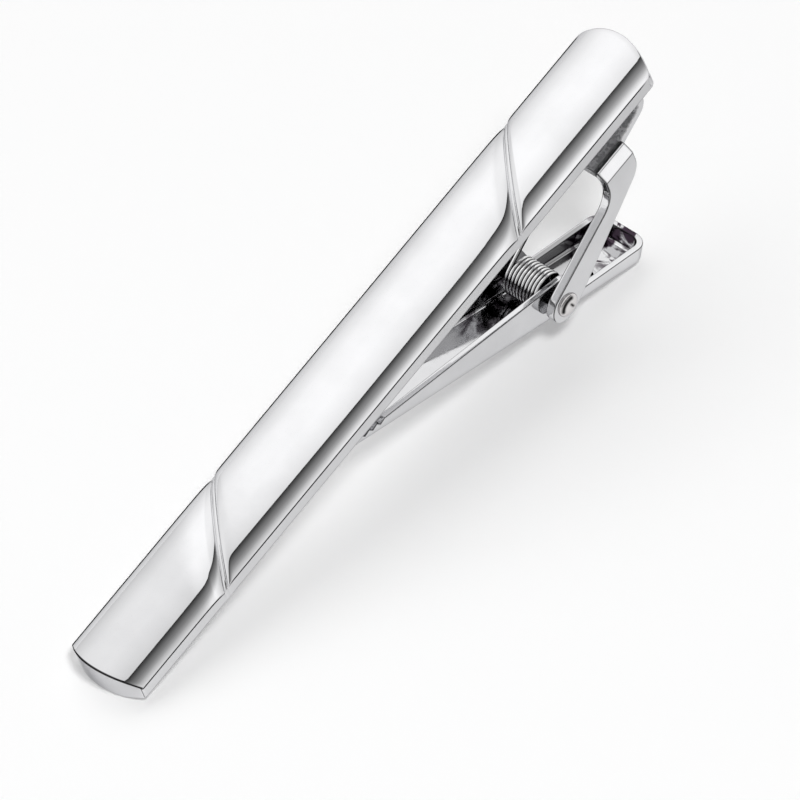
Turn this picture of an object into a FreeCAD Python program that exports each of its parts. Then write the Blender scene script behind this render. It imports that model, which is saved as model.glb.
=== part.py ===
"""Sprung tie clip: a domed bar, a folded hinge bracket and an alligator lever on a rivet.

The clip lies as it is put down on a table: on one end of the bar and on the heel of the thumb
plate. X runs along the bar towards the hinge end, Z is up, and Y is the axis of the rivet.
The bar, bracket, solder and spring are drawn with the back of the bar on z = 0, the lever with
the rivet at its origin and its floor level, and their placements then lay them on the table.
"""

import FreeCAD, Part
import math
import os
import re

import Sketcher
from FreeCAD import Placement, Rotation, Vector

SIZES = (
    ("bar_length", 60.8, "front bar, over both rounded ends"),
    ("bar_width", 6.6, "front bar, across"),
    ("bar_edge", 1.4, "height of the bar's upright side"),
    ("bar_crown", 1.45, "rise of the dome above the side"),
    ("end_bulge", 1.05, "how far each end of the bar swells out"),
    ("edge_break", 0.1, "softened edge between dome and side"),
    ("groove_inset_plain", 13.7, "middle of the cuts from the plain end"),
    ("groove_inset_hinge", 13.3, "middle of the cuts from the hinge end"),
    ("groove_angle", 45.0, "slant of the cuts from the bar's length, degrees"),
    ("groove_pair", 0.62, "distance between the two cuts of a pair"),
    ("groove_width", 0.36, "width of one cut at the surface"),
    ("groove_depth", 0.26, "depth of one cut"),
    ("bracket_sheet", 0.75, "sheet of the bracket"),
    ("bracket_width", 7.0, "bracket, over both ears"),
    ("bracket_bend", 0.1, "inside radius where an ear is bent down"),
    ("strap_width", 5.1, "width of the foot and of its fold"),
    ("strap_inset", 1.85, "fold from the hinge end of the bar"),
    ("fold_drop", 2.7, "back of the bar to the underside of the fold"),
    ("foot_reach", 6.5, "straight length of the foot"),
    ("foot_corner", 0.7, "rounding of the foot's corners"),
    ("saddle_drop", 2.8, "back of the bar to the top of the saddle"),
    ("saddle_inset", 4.95, "saddle from the hinge end of the bar"),
    ("saddle_length", 3.1, "saddle along the bar"),
    ("throat_drop", 5.9, "back of the bar to the throat of an ear"),
    ("throat_round", 2.2, "rounding of the throat"),
    ("shoulder_drop", 5.65, "back of the bar to the shoulder of an ear"),
    ("shoulder_round", 2.0, "rounding of the shoulder"),
    ("ear_round", 1.5, "radius of an ear's end round the rivet"),
    ("bead_leg", 0.45, "leg of the solder fillet"),
    ("pin_setback", 14.9, "rivet from the hinge end of the bar"),
    ("pin_depth", 10.7, "rivet behind the back of the bar"),
    ("pin_diameter", 1.5, "shank of the rivet"),
    ("head_diameter", 1.9, "head of the rivet"),
    ("head_height", 0.42, "height of a rivet head"),
    ("bore_clearance", 0.04, "lever bore round the rivet, on the radius"),
    ("side_clearance", 0.325, "lever wall to ear"),
    ("lever_sheet", 0.5, "sheet of the lever"),
    ("lever_bend", 0.35, "inside radius of the lever's bends"),
    ("floor_depth", 2.38, "rivet to the outside of the lever's floor"),
    ("jaw_length", 24.8, "rivet to the tip of the jaw"),
    ("tip_gap", 0.15, "closed jaw to the back of the bar"),
    ("jaw_lip", 0.2, "height of the jaw's rim at its tip"),
    ("lug_height", 1.5, "rivet to the rim above it"),
    ("lug_reach", 0.9, "rivet to the end of that rim"),
    ("lug_round", 1.2, "rounding of that rim's end"),
    ("thumb_root", 2.9, "rivet to the start of the thumb plate's rim"),
    ("root_round", 0.7, "rounding where the thumb plate's rim starts"),
    ("thumb_length", 10.8, "rivet to the end of the thumb plate"),
    ("thumb_wall_root", 1.5, "height of the thumb plate's wall at its start"),
    ("thumb_wall_end", 1.9, "height of the thumb plate's wall at its end"),
    ("tooth_count", 5, "notches in each rim of the jaw"),
    ("tooth_pitch", 0.85, "distance from notch to notch"),
    ("tooth_depth", 0.32, "depth of a notch"),
    ("tooth_start", 2.0, "last notch from the tip of the jaw"),
    ("wire_diameter", 0.4, "spring wire"),
    ("coil_radius", 1.42, "middle of the wire to the rivet's axis"),
    ("coil_turns", 3, "whole turns of the spring"),
    ("coil_clearance", 0.08, "coil to the lever's walls"),
    ("leg_inset", 5.6, "bracket leg's end from the hinge end of the bar"),
    ("lever_leg", 5.2, "rivet to the lever leg's end"),
    ("leg_clearance", 0.25, "lever leg's end to the lever's floor"),
    ("leg_bend", 0.4, "radius of the wire where a leg turns to its seat"),
)

POSES = (
    ("closed_angle", "App::PropertyAngle",
     "asin((pin_depth - tip_gap) / hypot(jaw_length; floor_depth - lever_sheet - jaw_lip))"
     " + atan2(floor_depth - lever_sheet - jaw_lip; jaw_length)"),
    ("heel_round", "App::PropertyFloat", "lever_bend + lever_sheet"),
    ("heel_x", "App::PropertyFloat",
     "bar_length - pin_setback + (thumb_length - heel_round) * cos(closed_angle)"
     " + (heel_round - floor_depth) * sin(closed_angle)"),
    ("heel_drop", "App::PropertyFloat",
     "pin_depth + (thumb_length - heel_round) * sin(closed_angle)"
     " - (heel_round - floor_depth) * cos(closed_angle)"),
    ("rest_tilt", "App::PropertyAngle",
     "atan2(heel_drop; heel_x) + asin(heel_round / hypot(heel_x; heel_drop))"),
    ("thumb_x", "App::PropertyFloat",
     "(bar_length / 2 - pin_setback) * cos(rest_tilt) + pin_depth * sin(rest_tilt)"
     " + thumb_length * cos(closed_angle - rest_tilt)"
     " + (thumb_wall_end - floor_depth) * sin(closed_angle - rest_tilt)"),
    ("rest_x", "App::PropertyFloat",
     "(bar_length / 2 * cos(rest_tilt) + (bar_edge + bar_crown) * sin(rest_tilt)"
     " - max(bar_length / 2 * cos(rest_tilt); thumb_x)) / 2"),
    ("rest_z", "App::PropertyFloat", "bar_length / 2 * sin(rest_tilt)"),
)

PIN_X = "(bar_length / 2 - pin_setback)"
FOLD_RADIUS = "(fold_drop / 2)"
FOLD_X = f"(bar_length / 2 - strap_inset - {FOLD_RADIUS})"
FOOT_X = f"({FOLD_X} - foot_reach)"
SADDLE_BACK_X = "(bar_length / 2 - saddle_inset)"
SADDLE_FRONT_X = f"({SADDLE_BACK_X} - saddle_length)"
LEVER_WIDTH = "(bracket_width - 2 * bracket_sheet - 2 * side_clearance)"
FLOOR_TOP = "(lever_sheet - floor_depth)"
OVERRUN = "1"

os.makedirs("parts", exist_ok=True)
doc = FreeCAD.newDocument("tie_clip")


def make_sheet():
    """Puts every driving size in the spreadsheet under its own name."""
    sheet = doc.addObject("Spreadsheet::Sheet", "sizes")
    for row, (alias, number, meaning) in enumerate(SIZES, start=1):
        sheet.set(f"A{row}", alias)
        sheet.set(f"B{row}", str(number))
        sheet.set(f"C{row}", meaning)
        sheet.setAlias(f"B{row}", alias)
    doc.recompute()
    return sheet


def linked(text):
    """An expression in bare size names, with each name pointed at the object that holds it."""
    for owner, names in (("sizes", SIZE_NAMES), ("pose", POSE_NAMES)):
        text = names.sub(rf"{owner}.\1", text)
    return text


def value(text):
    """The number that an expression gives now."""
    result = pose.evalExpression(linked(text))
    return float(getattr(result, "Value", result))


def make_pose():
    """Works out how far the lever closes and how the closed clip lies on the table."""
    holder = doc.addObject("App::VarSet", "pose")
    for name, kind, expression in POSES:
        holder.addProperty(kind, name)
        holder.setExpression(name, linked(expression).replace("pose.", ""))
    doc.recompute()
    return holder


def names_pattern(rows):
    """Matches any of the names in the first column, as a whole word."""
    return re.compile(r"(?<![.\w])(" + "|".join(row[0] for row in rows) + r")\b")


SIZE_NAMES = names_pattern(SIZES)
POSE_NAMES = names_pattern(POSES)
sizes = make_sheet()
pose = make_pose()


def lay_down(thing, x, z, angle, axis):
    """Binds a placement: a point on the bar's back frame, and a turn about Y, laid on the table."""
    thing.Placement = Placement(Vector(), Rotation(axis, 10))
    across = f"{x} * cos(rest_tilt) - {z} * sin(rest_tilt) + rest_x"
    above = f"{x} * sin(rest_tilt) + {z} * cos(rest_tilt) + rest_z"
    thing.setExpression("Placement.Base.x", linked(across))
    thing.setExpression("Placement.Base.z", linked(above))
    thing.setExpression("Placement.Rotation.Angle", linked(angle))


def new_body(name):
    """A body whose label names its file."""
    body = doc.addObject("PartDesign::Body", name)
    body.Label = name
    return body


def sketch_on(body, plane, name):
    """A sketch on one of the body's own origin planes."""
    sketch = body.newObject("Sketcher::SketchObject", name)
    support = next(f for f in body.Origin.OriginFeatures if f.Role == plane)
    sketch.AttachmentSupport = [(support, "")]
    sketch.MapMode = "FlatFace"
    return sketch


def pin_down(sketch, kind, first, first_end, second, second_end, expression):
    """A distance between two points of a sketch, bound to an expression."""
    constraint = Sketcher.Constraint(kind, first, first_end, second, second_end, value(expression))
    number = sketch.addConstraint(constraint)
    sketch.setExpression(f"Constraints[{number}]", linked(expression))


def hold(sketch, edge, end, x, y):
    """Holds a point of a sketch at x and y from the sketch's origin."""
    for axis_line, kind, expression in ((-2, "DistanceX", x), (-1, "DistanceY", y)):
        if expression == "0":
            sketch.addConstraint(Sketcher.Constraint("PointOnObject", edge, end, axis_line))
        else:
            pin_down(sketch, kind, -1, 1, edge, end, expression)


def set_radius(sketch, edge, expression):
    """Binds the radius of an arc or circle of a sketch."""
    number = sketch.addConstraint(Sketcher.Constraint("Radius", edge, value(expression)))
    sketch.setExpression(f"Constraints[{number}]", linked(expression))


def outline(sketch, corners, arcs=None):
    """A closed outline through corners held at expressions.

    The edge after corner n is straight, or an arc where arcs[n] gives a point on its way and its
    radius, or for half a circle no radius but how far along its middle lies.
    """
    arcs = arcs or {}
    first = sketch.GeometryCount
    spots = [Vector(value(x), value(y), 0) for x, y in corners]
    for n, (here, there) in enumerate(zip(spots, spots[1:] + spots[:1])):
        if n in arcs:
            x, y = arcs[n][:2]
            sketch.addGeometry(Part.Arc(here, Vector(value(x), value(y), 0), there))
        else:
            sketch.addGeometry(Part.LineSegment(here, there))
    starts = []
    for n, spot in enumerate(spots):
        gaps = [(sketch.getPoint(first + n, end) - spot).Length for end in (1, 2)]
        starts.append(1 if gaps[0] < gaps[1] else 2)
    for n, (x, y) in enumerate(corners):
        last = (n - 1) % len(corners)
        ends = (first + last, 3 - starts[last], first + n, starts[n])
        sketch.addConstraint(Sketcher.Constraint("Coincident", *ends))
        hold(sketch, first + n, starts[n], x, y)
    for n, (x, y, radius, *middle) in arcs.items():
        if radius:
            set_radius(sketch, first + n, radius)
        else:
            pin_down(sketch, "DistanceX", -1, 1, first + n, 3, middle[0])


def circle(sketch, x, y, radius):
    """A circle held at its middle."""
    middle = Vector(value(x), value(y), 0)
    edge = sketch.addGeometry(Part.Circle(middle, Vector(0, 0, 1), value(radius)))
    hold(sketch, edge, 3, x, y)
    set_radius(sketch, edge, radius)


def extrude(body, kind, sketch, length=None, symmetric=True):
    """A pad or pocket of a sketch, to both sides of it unless said; no length cuts right through."""
    before = body.Shape.Volume if body.Tip else 0.0
    feature = body.newObject(f"PartDesign::{kind}", f"{sketch.Name}_{kind.lower()}")
    feature.Profile = sketch
    if symmetric:
        feature.SideType = "Symmetric"
    if length:
        feature.setExpression("Length", linked(length))
    else:
        feature.Type = "ThroughAll"
    finish_feature(body, feature, before, grows=(kind == "Pad"))
    return feature


def finish_feature(body, feature, before, grows):
    """Computes a feature and makes sure that it added or removed material."""
    sketchy = getattr(feature, "Profile", None)
    if sketchy:
        sketchy[0].Visibility = False
    body.Tip = feature
    doc.recompute()
    gained = feature.Shape.Volume - before
    if gained == 0 or (gained > 0) != grows:
        raise RuntimeError(f"{feature.Name} changed the volume by {gained:.4f}")


def dress(body, kind, name, edges, size):
    """A fillet or chamfer on the named edges of what the body is so far."""
    if not edges:
        raise RuntimeError(f"{name} found no edges")
    base = body.Tip
    feature = body.newObject(f"PartDesign::{kind}", name)
    feature.Base = (base, edges)
    feature.setExpression("Radius" if kind == "Fillet" else "Size", linked(size))
    body.Tip = feature
    doc.recompute()


def edges_where(body, test):
    """Names of the body's edges whose every end and middle passes a test on its point."""
    found = []
    for number, edge in enumerate(body.Tip.Shape.Edges, start=1):
        middle = edge.valueAt((edge.FirstParameter + edge.LastParameter) / 2)
        points = [v.Point for v in edge.Vertexes] + [middle]
        if all(test(p) for p in points):
            found.append(f"Edge{number}")
    return found


def across_at(body, x, z):
    """Edges that run across the clip, along Y, through a point of the side view."""
    u, v = value(x), value(z)
    return edges_where(body, lambda p: math.hypot(p.x - u, p.z - v) < 1e-4)


def along_at(body, y, z):
    """Edges that run along the clip, along X, through a point of the end view and its mirror."""
    u, v = value(y), value(z)
    return edges_where(body, lambda p: math.hypot(abs(p.y) - u, p.z - v) < 1e-4)


def upright_at(body, x, y):
    """Edges that stand upright, along Z, through a point of the plan and its mirror."""
    u, v = value(x), value(y)
    return edges_where(body, lambda p: math.hypot(p.x - u, abs(p.y) - v) < 1e-4)


def make_bar():
    """The front bar: a domed section, its ends cut to arcs, with two pairs of slanted cuts."""
    body = new_body("front_bar")
    half, top = "bar_width / 2", "bar_edge + bar_crown"
    section = sketch_on(body, "YZ_Plane", "bar_section")
    outline(section, [(f"-{half}", "0"), (half, "0"), (half, "bar_edge"), (f"-{half}", "bar_edge")],
            {2: ("0", top, f"(({half})^2 + bar_crown^2) / (2 * bar_crown)")})
    extrude(body, "Pad", section, "bar_length")

    plan = sketch_on(body, "XY_Plane", "end_arcs")
    swing = f"((({half})^2 + end_bulge^2) / (2 * end_bulge))"
    reach = f"({half} + edge_break)"
    corner = f"(bar_length / 2 - {swing} + sqrt({swing}^2 - {reach}^2))"
    for side in ("", "-"):
        outer = f"{side}(bar_length / 2 + {OVERRUN})"
        inner = f"{side}{corner}"
        outline(plan, [(inner, f"-{reach}"), (inner, reach), (outer, reach), (outer, f"-{reach}")],
                {0: (f"{side}bar_length / 2", "0", swing)})
    extrude(body, "Pocket", plan)

    def on_dome_edge(p):
        return abs(p.z - value("bar_edge")) < 1e-4 and abs(p.y) > value(half) - 1e-4
    dress(body, "Fillet", "dome_edges", edges_where(body, on_dome_edge), "edge_break")
    cut_grooves(body, half, top)
    lay_down(body, "0", "0", "rest_tilt", Vector(0, -1, 0))
    return body


def cut_grooves(body, half, top):
    """Pairs of V cuts that follow the dome on a slant: a profile turned about an axis under it."""
    reach = f"({half} / sin(groove_angle * 1 deg))"
    swing = f"(({reach}^2 + bar_crown^2) / (2 * bar_crown))"
    profile = sketch_on(body, "XZ_Plane", "groove_profile")
    profile.AttachmentOffset = Placement(Vector(), Rotation(Vector(0, -1, 0), 45))
    profile.setExpression("AttachmentOffset.Base.x", linked("groove_inset_plain - bar_length / 2"))
    profile.setExpression("AttachmentOffset.Base.y", linked(f"{top} - {swing}"))
    profile.setExpression("AttachmentOffset.Rotation.Angle", linked("90 - groove_angle"))
    for side in ("-", ""):
        middle = f"{side}groove_pair / 2"
        outline(profile, [(middle, f"{swing} - groove_depth"),
                          (f"{middle} + 0.6 * groove_width", f"{swing} + 0.2 * groove_depth"),
                          (f"{middle} - 0.6 * groove_width", f"{swing} + 0.2 * groove_depth")])
    before = body.Shape.Volume
    groove = body.newObject("PartDesign::Groove", "groove")
    groove.Profile = profile
    groove.ReferenceAxis = (profile, ["H_Axis"])
    groove.Angle = 360
    finish_feature(body, groove, before, grows=False)
    before = groove.Shape.Volume
    pattern = body.newObject("PartDesign::LinearPattern", "groove_pairs")
    pattern.Originals = [groove]
    pattern.Direction = (next(f for f in body.Origin.OriginFeatures if f.Role == "X_Axis"), [""])
    pattern.Occurrences = 2
    pattern.setExpression("Length", linked("bar_length - groove_inset_plain - groove_inset_hinge"))
    finish_feature(body, pattern, before, grows=False)


def make_bracket():
    """The hinge bracket: a bent channel trimmed to ears, and a strap folded over to a foot."""
    body = new_body("hinge_bracket")
    outer, inner = "bracket_width / 2", "(bracket_width / 2 - bracket_sheet)"
    saddle, under = "-saddle_drop", "-saddle_drop - bracket_sheet"
    lowest = f"-pin_depth - ear_round - {OVERRUN}"
    foremost = f"{PIN_X} - ear_round - {OVERRUN}"

    section = sketch_on(body, "YZ_Plane", "channel_section")
    section.setExpression("AttachmentOffset.Base.z", linked(foremost))
    outline(section, [(f"-{outer}", lowest), (f"-{outer}", saddle), (outer, saddle), (outer, lowest),
                      (inner, lowest), (inner, under), (f"-{inner}", under), (f"-{inner}", lowest)])
    extrude(body, "Pad", section, f"{SADDLE_BACK_X} + {OVERRUN} - ({foremost})", symmetric=False)
    bends = along_at(body, outer, saddle)
    dress(body, "Fillet", "bend_outside", bends, "bracket_bend + bracket_sheet")
    dress(body, "Fillet", "bend_inside", along_at(body, inner, under), "bracket_bend")

    trim_ears(body, foremost, lowest)
    for name, x, z, radius in (
        ("throats", SADDLE_FRONT_X, "-throat_drop", "throat_round"),
        ("shoulders", SADDLE_BACK_X, "-shoulder_drop", "shoulder_round"),
    ):
        dress(body, "Fillet", name, across_at(body, x, z), radius)

    fold_strap(body)
    for_pin = sketch_on(body, "XZ_Plane", "pin_holes")
    circle(for_pin, PIN_X, "-pin_depth", "pin_diameter / 2")
    extrude(body, "Pocket", for_pin)
    lay_down(body, "0", "0", "rest_tilt", Vector(0, -1, 0))
    return body


def trim_ears(body, foremost, lowest):
    """Cuts the channel to the ears' side view: a saddle, and arms that end round the rivet."""
    trim = sketch_on(body, "XZ_Plane", "ear_trim")
    ceiling = f"-saddle_drop + {OVERRUN}"
    margin = f"2 * {OVERRUN}"
    outline(trim, [(f"{foremost} - {margin}", f"{lowest} - {margin}"),
                   (f"{SADDLE_BACK_X} + {margin}", f"{lowest} - {margin}"),
                   (f"{SADDLE_BACK_X} + {margin}", f"{ceiling} + {margin}"),
                   (f"{foremost} - {margin}", f"{ceiling} + {margin}")])
    throat = (SADDLE_FRONT_X, "-throat_drop")
    shoulder = (SADDLE_BACK_X, "-shoulder_drop")
    spots = [Vector(value(x), value(z), 0) for x, z in (throat, shoulder)]
    pin = Vector(value(PIN_X), value("-pin_depth"), 0)
    upper = touch_point(spots[0], pin, value("ear_round"), 1)
    lower = touch_point(spots[1], pin, value("ear_round"), -1)
    far_side = pin + (pin - (upper + lower) / 2).normalize() * value("ear_round")
    roof = value(ceiling)
    first = trim.GeometryCount
    for edge in (Part.LineSegment(Vector(spots[0].x, roof, 0), spots[0]),
                 Part.LineSegment(spots[0], upper),
                 Part.Arc(upper, far_side, lower),
                 Part.LineSegment(lower, spots[1]),
                 Part.LineSegment(spots[1], Vector(spots[1].x, roof, 0)),
                 Part.LineSegment(Vector(spots[1].x, roof, 0), Vector(spots[0].x, roof, 0))):
        trim.addGeometry(edge)
    down, arm, end, back, up, over = range(first, first + 6)
    for before, after in ((over, down), (down, arm), (back, up), (up, over)):
        trim.addConstraint(Sketcher.Constraint("Coincident", before, 2, after, 1))
    trim.addConstraint(Sketcher.Constraint("Tangent", arm, 2, end, 1))
    trim.addConstraint(Sketcher.Constraint("Tangent", end, 2, back, 1))
    hold(trim, down, 1, SADDLE_FRONT_X, ceiling)
    hold(trim, arm, 1, *throat)
    hold(trim, end, 3, PIN_X, "-pin_depth")
    set_radius(trim, end, "ear_round")
    hold(trim, up, 1, *shoulder)
    hold(trim, over, 1, SADDLE_BACK_X, ceiling)
    extrude(body, "Pocket", trim)


def touch_point(start, middle, radius, side):
    """Where a straight line from a point touches a circle, on the chosen side of its middle."""
    away = start - middle
    turn = math.acos(radius / away.Length) * side
    away.normalize()
    spoke = Vector(away.x * math.cos(turn) - away.y * math.sin(turn),
                   away.x * math.sin(turn) + away.y * math.cos(turn), 0)
    return middle + spoke * radius


def fold_strap(body):
    """The strap: from the saddle up to a fold, round it, and along the back of the bar as a foot."""
    strap = sketch_on(body, "XZ_Plane", "strap_side")
    under, saddle = "-saddle_drop - bracket_sheet", "-saddle_drop"
    join = f"({SADDLE_BACK_X} - saddle_length / 2)"
    heels = ((SADDLE_BACK_X, under), (SADDLE_BACK_X, saddle))
    middle = Vector(value(FOLD_X), -value(FOLD_RADIUS), 0)
    radii = (value(FOLD_RADIUS), value(f"{FOLD_RADIUS} - bracket_sheet"))
    spots = [Vector(value(x), value(z), 0) for x, z in heels]
    touch = [touch_point(spot, middle, radius, 1) for spot, radius in zip(spots, radii)]
    tops = [middle + Vector(0, radius, 0) for radius in radii]
    rights = [middle + Vector(radius, 0, 0) for radius in radii]
    joins = [Vector(value(join), spot.y, 0) for spot in spots]
    feet = [Vector(value(FOOT_X), top.y, 0) for top in tops]
    for edge in (Part.LineSegment(feet[0], tops[0]),
                 Part.Arc(touch[0], rights[0], tops[0]),
                 Part.LineSegment(touch[0], spots[0]),
                 Part.LineSegment(spots[0], joins[0]),
                 Part.LineSegment(joins[0], joins[1]),
                 Part.LineSegment(joins[1], spots[1]),
                 Part.LineSegment(spots[1], touch[1]),
                 Part.Arc(touch[1], rights[1], tops[1]),
                 Part.LineSegment(tops[1], feet[1]),
                 Part.LineSegment(feet[1], feet[0])):
        strap.addGeometry(edge)
    foot, outside, slope, run, seam, back, climb, inside, lower, toe = range(10)
    for one, end, other, start in ((foot, 2, outside, 2), (slope, 2, run, 1), (run, 2, seam, 1),
                                   (seam, 2, back, 1), (back, 2, climb, 1), (inside, 2, lower, 1),
                                   (lower, 2, toe, 1), (toe, 2, foot, 1)):
        strap.addConstraint(Sketcher.Constraint("Coincident", one, end, other, start))
    strap.addConstraint(Sketcher.Constraint("Tangent", outside, 1, slope, 1))
    strap.addConstraint(Sketcher.Constraint("Tangent", climb, 2, inside, 1))
    hold(strap, foot, 1, FOOT_X, "0")
    hold(strap, foot, 2, FOLD_X, "0")
    hold(strap, outside, 3, FOLD_X, f"-{FOLD_RADIUS}")
    hold(strap, run, 1, *heels[0])
    hold(strap, seam, 1, join, under)
    hold(strap, back, 1, join, saddle)
    hold(strap, climb, 1, *heels[1])
    hold(strap, inside, 3, FOLD_X, f"-{FOLD_RADIUS}")
    hold(strap, lower, 1, FOLD_X, "-bracket_sheet")
    hold(strap, toe, 1, FOOT_X, "-bracket_sheet")
    extrude(body, "Pad", strap, "strap_width")
    dress(body, "Fillet", "foot_corners", upright_at(body, FOOT_X, "strap_width / 2"), "foot_corner")


def make_solder():
    """The solder: a fillet round the three free sides of the foot, on the back of the bar."""
    body = new_body("solder_bead")
    edge = "strap_width / 2"
    plan = sketch_on(body, "XY_Plane", "bead_plan")
    outline(plan, [(f"{FOOT_X} - bead_leg", f"-{edge} - bead_leg"), (FOLD_X, f"-{edge} - bead_leg"),
                   (FOLD_X, f"-{edge}"), (FOOT_X, f"-{edge}"), (FOOT_X, edge), (FOLD_X, edge),
                   (FOLD_X, f"{edge} + bead_leg"), (f"{FOOT_X} - bead_leg", f"{edge} + bead_leg")])
    bead = extrude(body, "Pad", plan, "bead_leg", symmetric=False)
    bead.Reversed = True
    doc.recompute()
    dress(body, "Fillet", "bead_inside", upright_at(body, FOOT_X, edge), "foot_corner")
    outer = (f"{FOOT_X} - bead_leg", f"{edge} + bead_leg")
    dress(body, "Fillet", "bead_outside", upright_at(body, *outer), "foot_corner + bead_leg")
    low, side, front = value("-bead_leg"), value(outer[1]), value(outer[0])
    rim = value("foot_corner + bead_leg")

    def on_outer_rim(p):
        past = Vector(max(0, front + rim - p.x), max(0, abs(p.y) - side + rim), 0)
        on_side = abs(past.y - rim) < 1e-4 or abs(past.x - rim) < 1e-4
        return abs(p.z - low) < 1e-4 and (on_side or abs(past.Length - rim) < 1e-4)
    dress(body, "Chamfer", "bead_slope", edges_where(body, on_outer_rim), "0.9 * bead_leg")
    lay_down(body, "0", "0", "rest_tilt", Vector(0, -1, 0))
    return body


def make_pin():
    """The rivet: a shank between two domed heads, turned about its own axis."""
    body = new_body("hinge_pin")
    half = sketch_on(body, "YZ_Plane", "rivet_half")
    face, tip = "bracket_width / 2", "(bracket_width / 2 + head_height)"
    shank, head = "pin_diameter / 2", "head_diameter / 2"
    dome = f"((({head})^2 + head_height^2) / (2 * head_height))"
    crest = f"({tip} - {dome} + sqrt({dome}^2 - ({head} / 2)^2))"
    outline(half, [(f"-{tip}", "0"), (f"-{face}", head), (f"-{face}", shank),
                   (face, shank), (face, head), (tip, "0")],
            {0: (f"-{crest}", f"{head} / 2", dome), 4: (crest, f"{head} / 2", dome)})
    turned = body.newObject("PartDesign::Revolution", "rivet")
    turned.Profile = half
    turned.ReferenceAxis = (half, ["H_Axis"])
    turned.Angle = 360
    finish_feature(body, turned, 0.0, grows=True)
    lay_down(body, PIN_X, "(-pin_depth)", "rest_tilt", Vector(0, -1, 0))
    return body


def make_lever():
    """The lever: a tray hollowed from a rounded block, its rim cut to jaw, lug and thumb plate."""
    body = new_body("clip_lever")
    half, base = f"{LEVER_WIDTH} / 2", "-floor_depth"
    tip, end, roof = "-jaw_length", "thumb_length", f"(lug_height + {OVERRUN})"
    side = sketch_on(body, "XZ_Plane", "tray_side")
    outline(side, [(tip, base), (end, base), (end, roof), (tip, roof)])
    extrude(body, "Pad", side, LEVER_WIDTH)
    bends = along_at(body, half, base) + across_at(body, end, base) + upright_at(body, end, half)
    dress(body, "Fillet", "tray_bends", bends, "heel_round")
    hollow = sketch_on(body, "XZ_Plane", "tray_hollow")
    inner_end, inner_half = "(thumb_length - lever_sheet)", f"({half} - lever_sheet)"
    past, above = f"{tip} - {OVERRUN}", f"{roof} + {OVERRUN}"
    outline(hollow, [(past, FLOOR_TOP), (inner_end, FLOOR_TOP), (inner_end, above), (past, above)])
    extrude(body, "Pocket", hollow, f"2 * {inner_half}")
    inside = along_at(body, inner_half, FLOOR_TOP) + across_at(body, inner_end, FLOOR_TOP)
    inside += upright_at(body, inner_end, inner_half)
    dress(body, "Fillet", "hollow_bends", inside, "lever_bend")

    lip = f"({FLOOR_TOP} + jaw_lip)"
    thumb_low, thumb_high = "(thumb_wall_root - floor_depth)", "(thumb_wall_end - floor_depth)"
    trim = sketch_on(body, "XZ_Plane", "rim_trim")
    beyond = f"thumb_length + {OVERRUN}"
    outline(trim, [(past, lip), (tip, lip), ("lug_reach", "lug_height"), ("thumb_root", thumb_low),
                   (end, thumb_high), (beyond, thumb_high), (beyond, above), (past, above)])
    extrude(body, "Pocket", trim)
    dress(body, "Fillet", "lug_ends", across_at(body, "lug_reach", "lug_height"), "lug_round")
    dress(body, "Fillet", "thumb_roots", across_at(body, "thumb_root", thumb_low), "root_round")
    cut_teeth(body, lip)
    bore = sketch_on(body, "XZ_Plane", "pin_bores")
    circle(bore, "0", "0", "pin_diameter / 2 + bore_clearance")
    extrude(body, "Pocket", bore)
    lay_down(body, PIN_X, "(-pin_depth)", "closed_angle - rest_tilt", Vector(0, 1, 0))
    return body


def cut_teeth(body, lip):
    """A row of V notches along the jaw's rims."""
    slope = f"atan2(lug_height - {lip}; lug_reach + jaw_length)"
    notch = sketch_on(body, "XZ_Plane", "tooth_notch")
    notch.AttachmentOffset = Placement(Vector(), Rotation(Vector(0, 0, 1), 10))
    notch.setExpression("AttachmentOffset.Base.x", linked("-jaw_length"))
    notch.setExpression("AttachmentOffset.Base.y", linked(lip))
    notch.setExpression("AttachmentOffset.Rotation.Angle", linked(slope))
    outline(notch, [("tooth_start", "-tooth_depth"),
                    ("tooth_start + 0.6 * tooth_pitch", "0.2 * tooth_depth"),
                    ("tooth_start - 0.6 * tooth_pitch", "0.2 * tooth_depth")])
    cut = extrude(body, "Pocket", notch)
    before = cut.Shape.Volume
    row = body.newObject("PartDesign::LinearPattern", "teeth")
    row.Originals = [cut]
    row.Direction = (notch, ["H_Axis"])
    row.setExpression("Length", linked("(tooth_count - 1) * tooth_pitch"))
    row.setExpression("Occurrences", linked("tooth_count"))
    finish_feature(body, row, before, grows=False)


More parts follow.
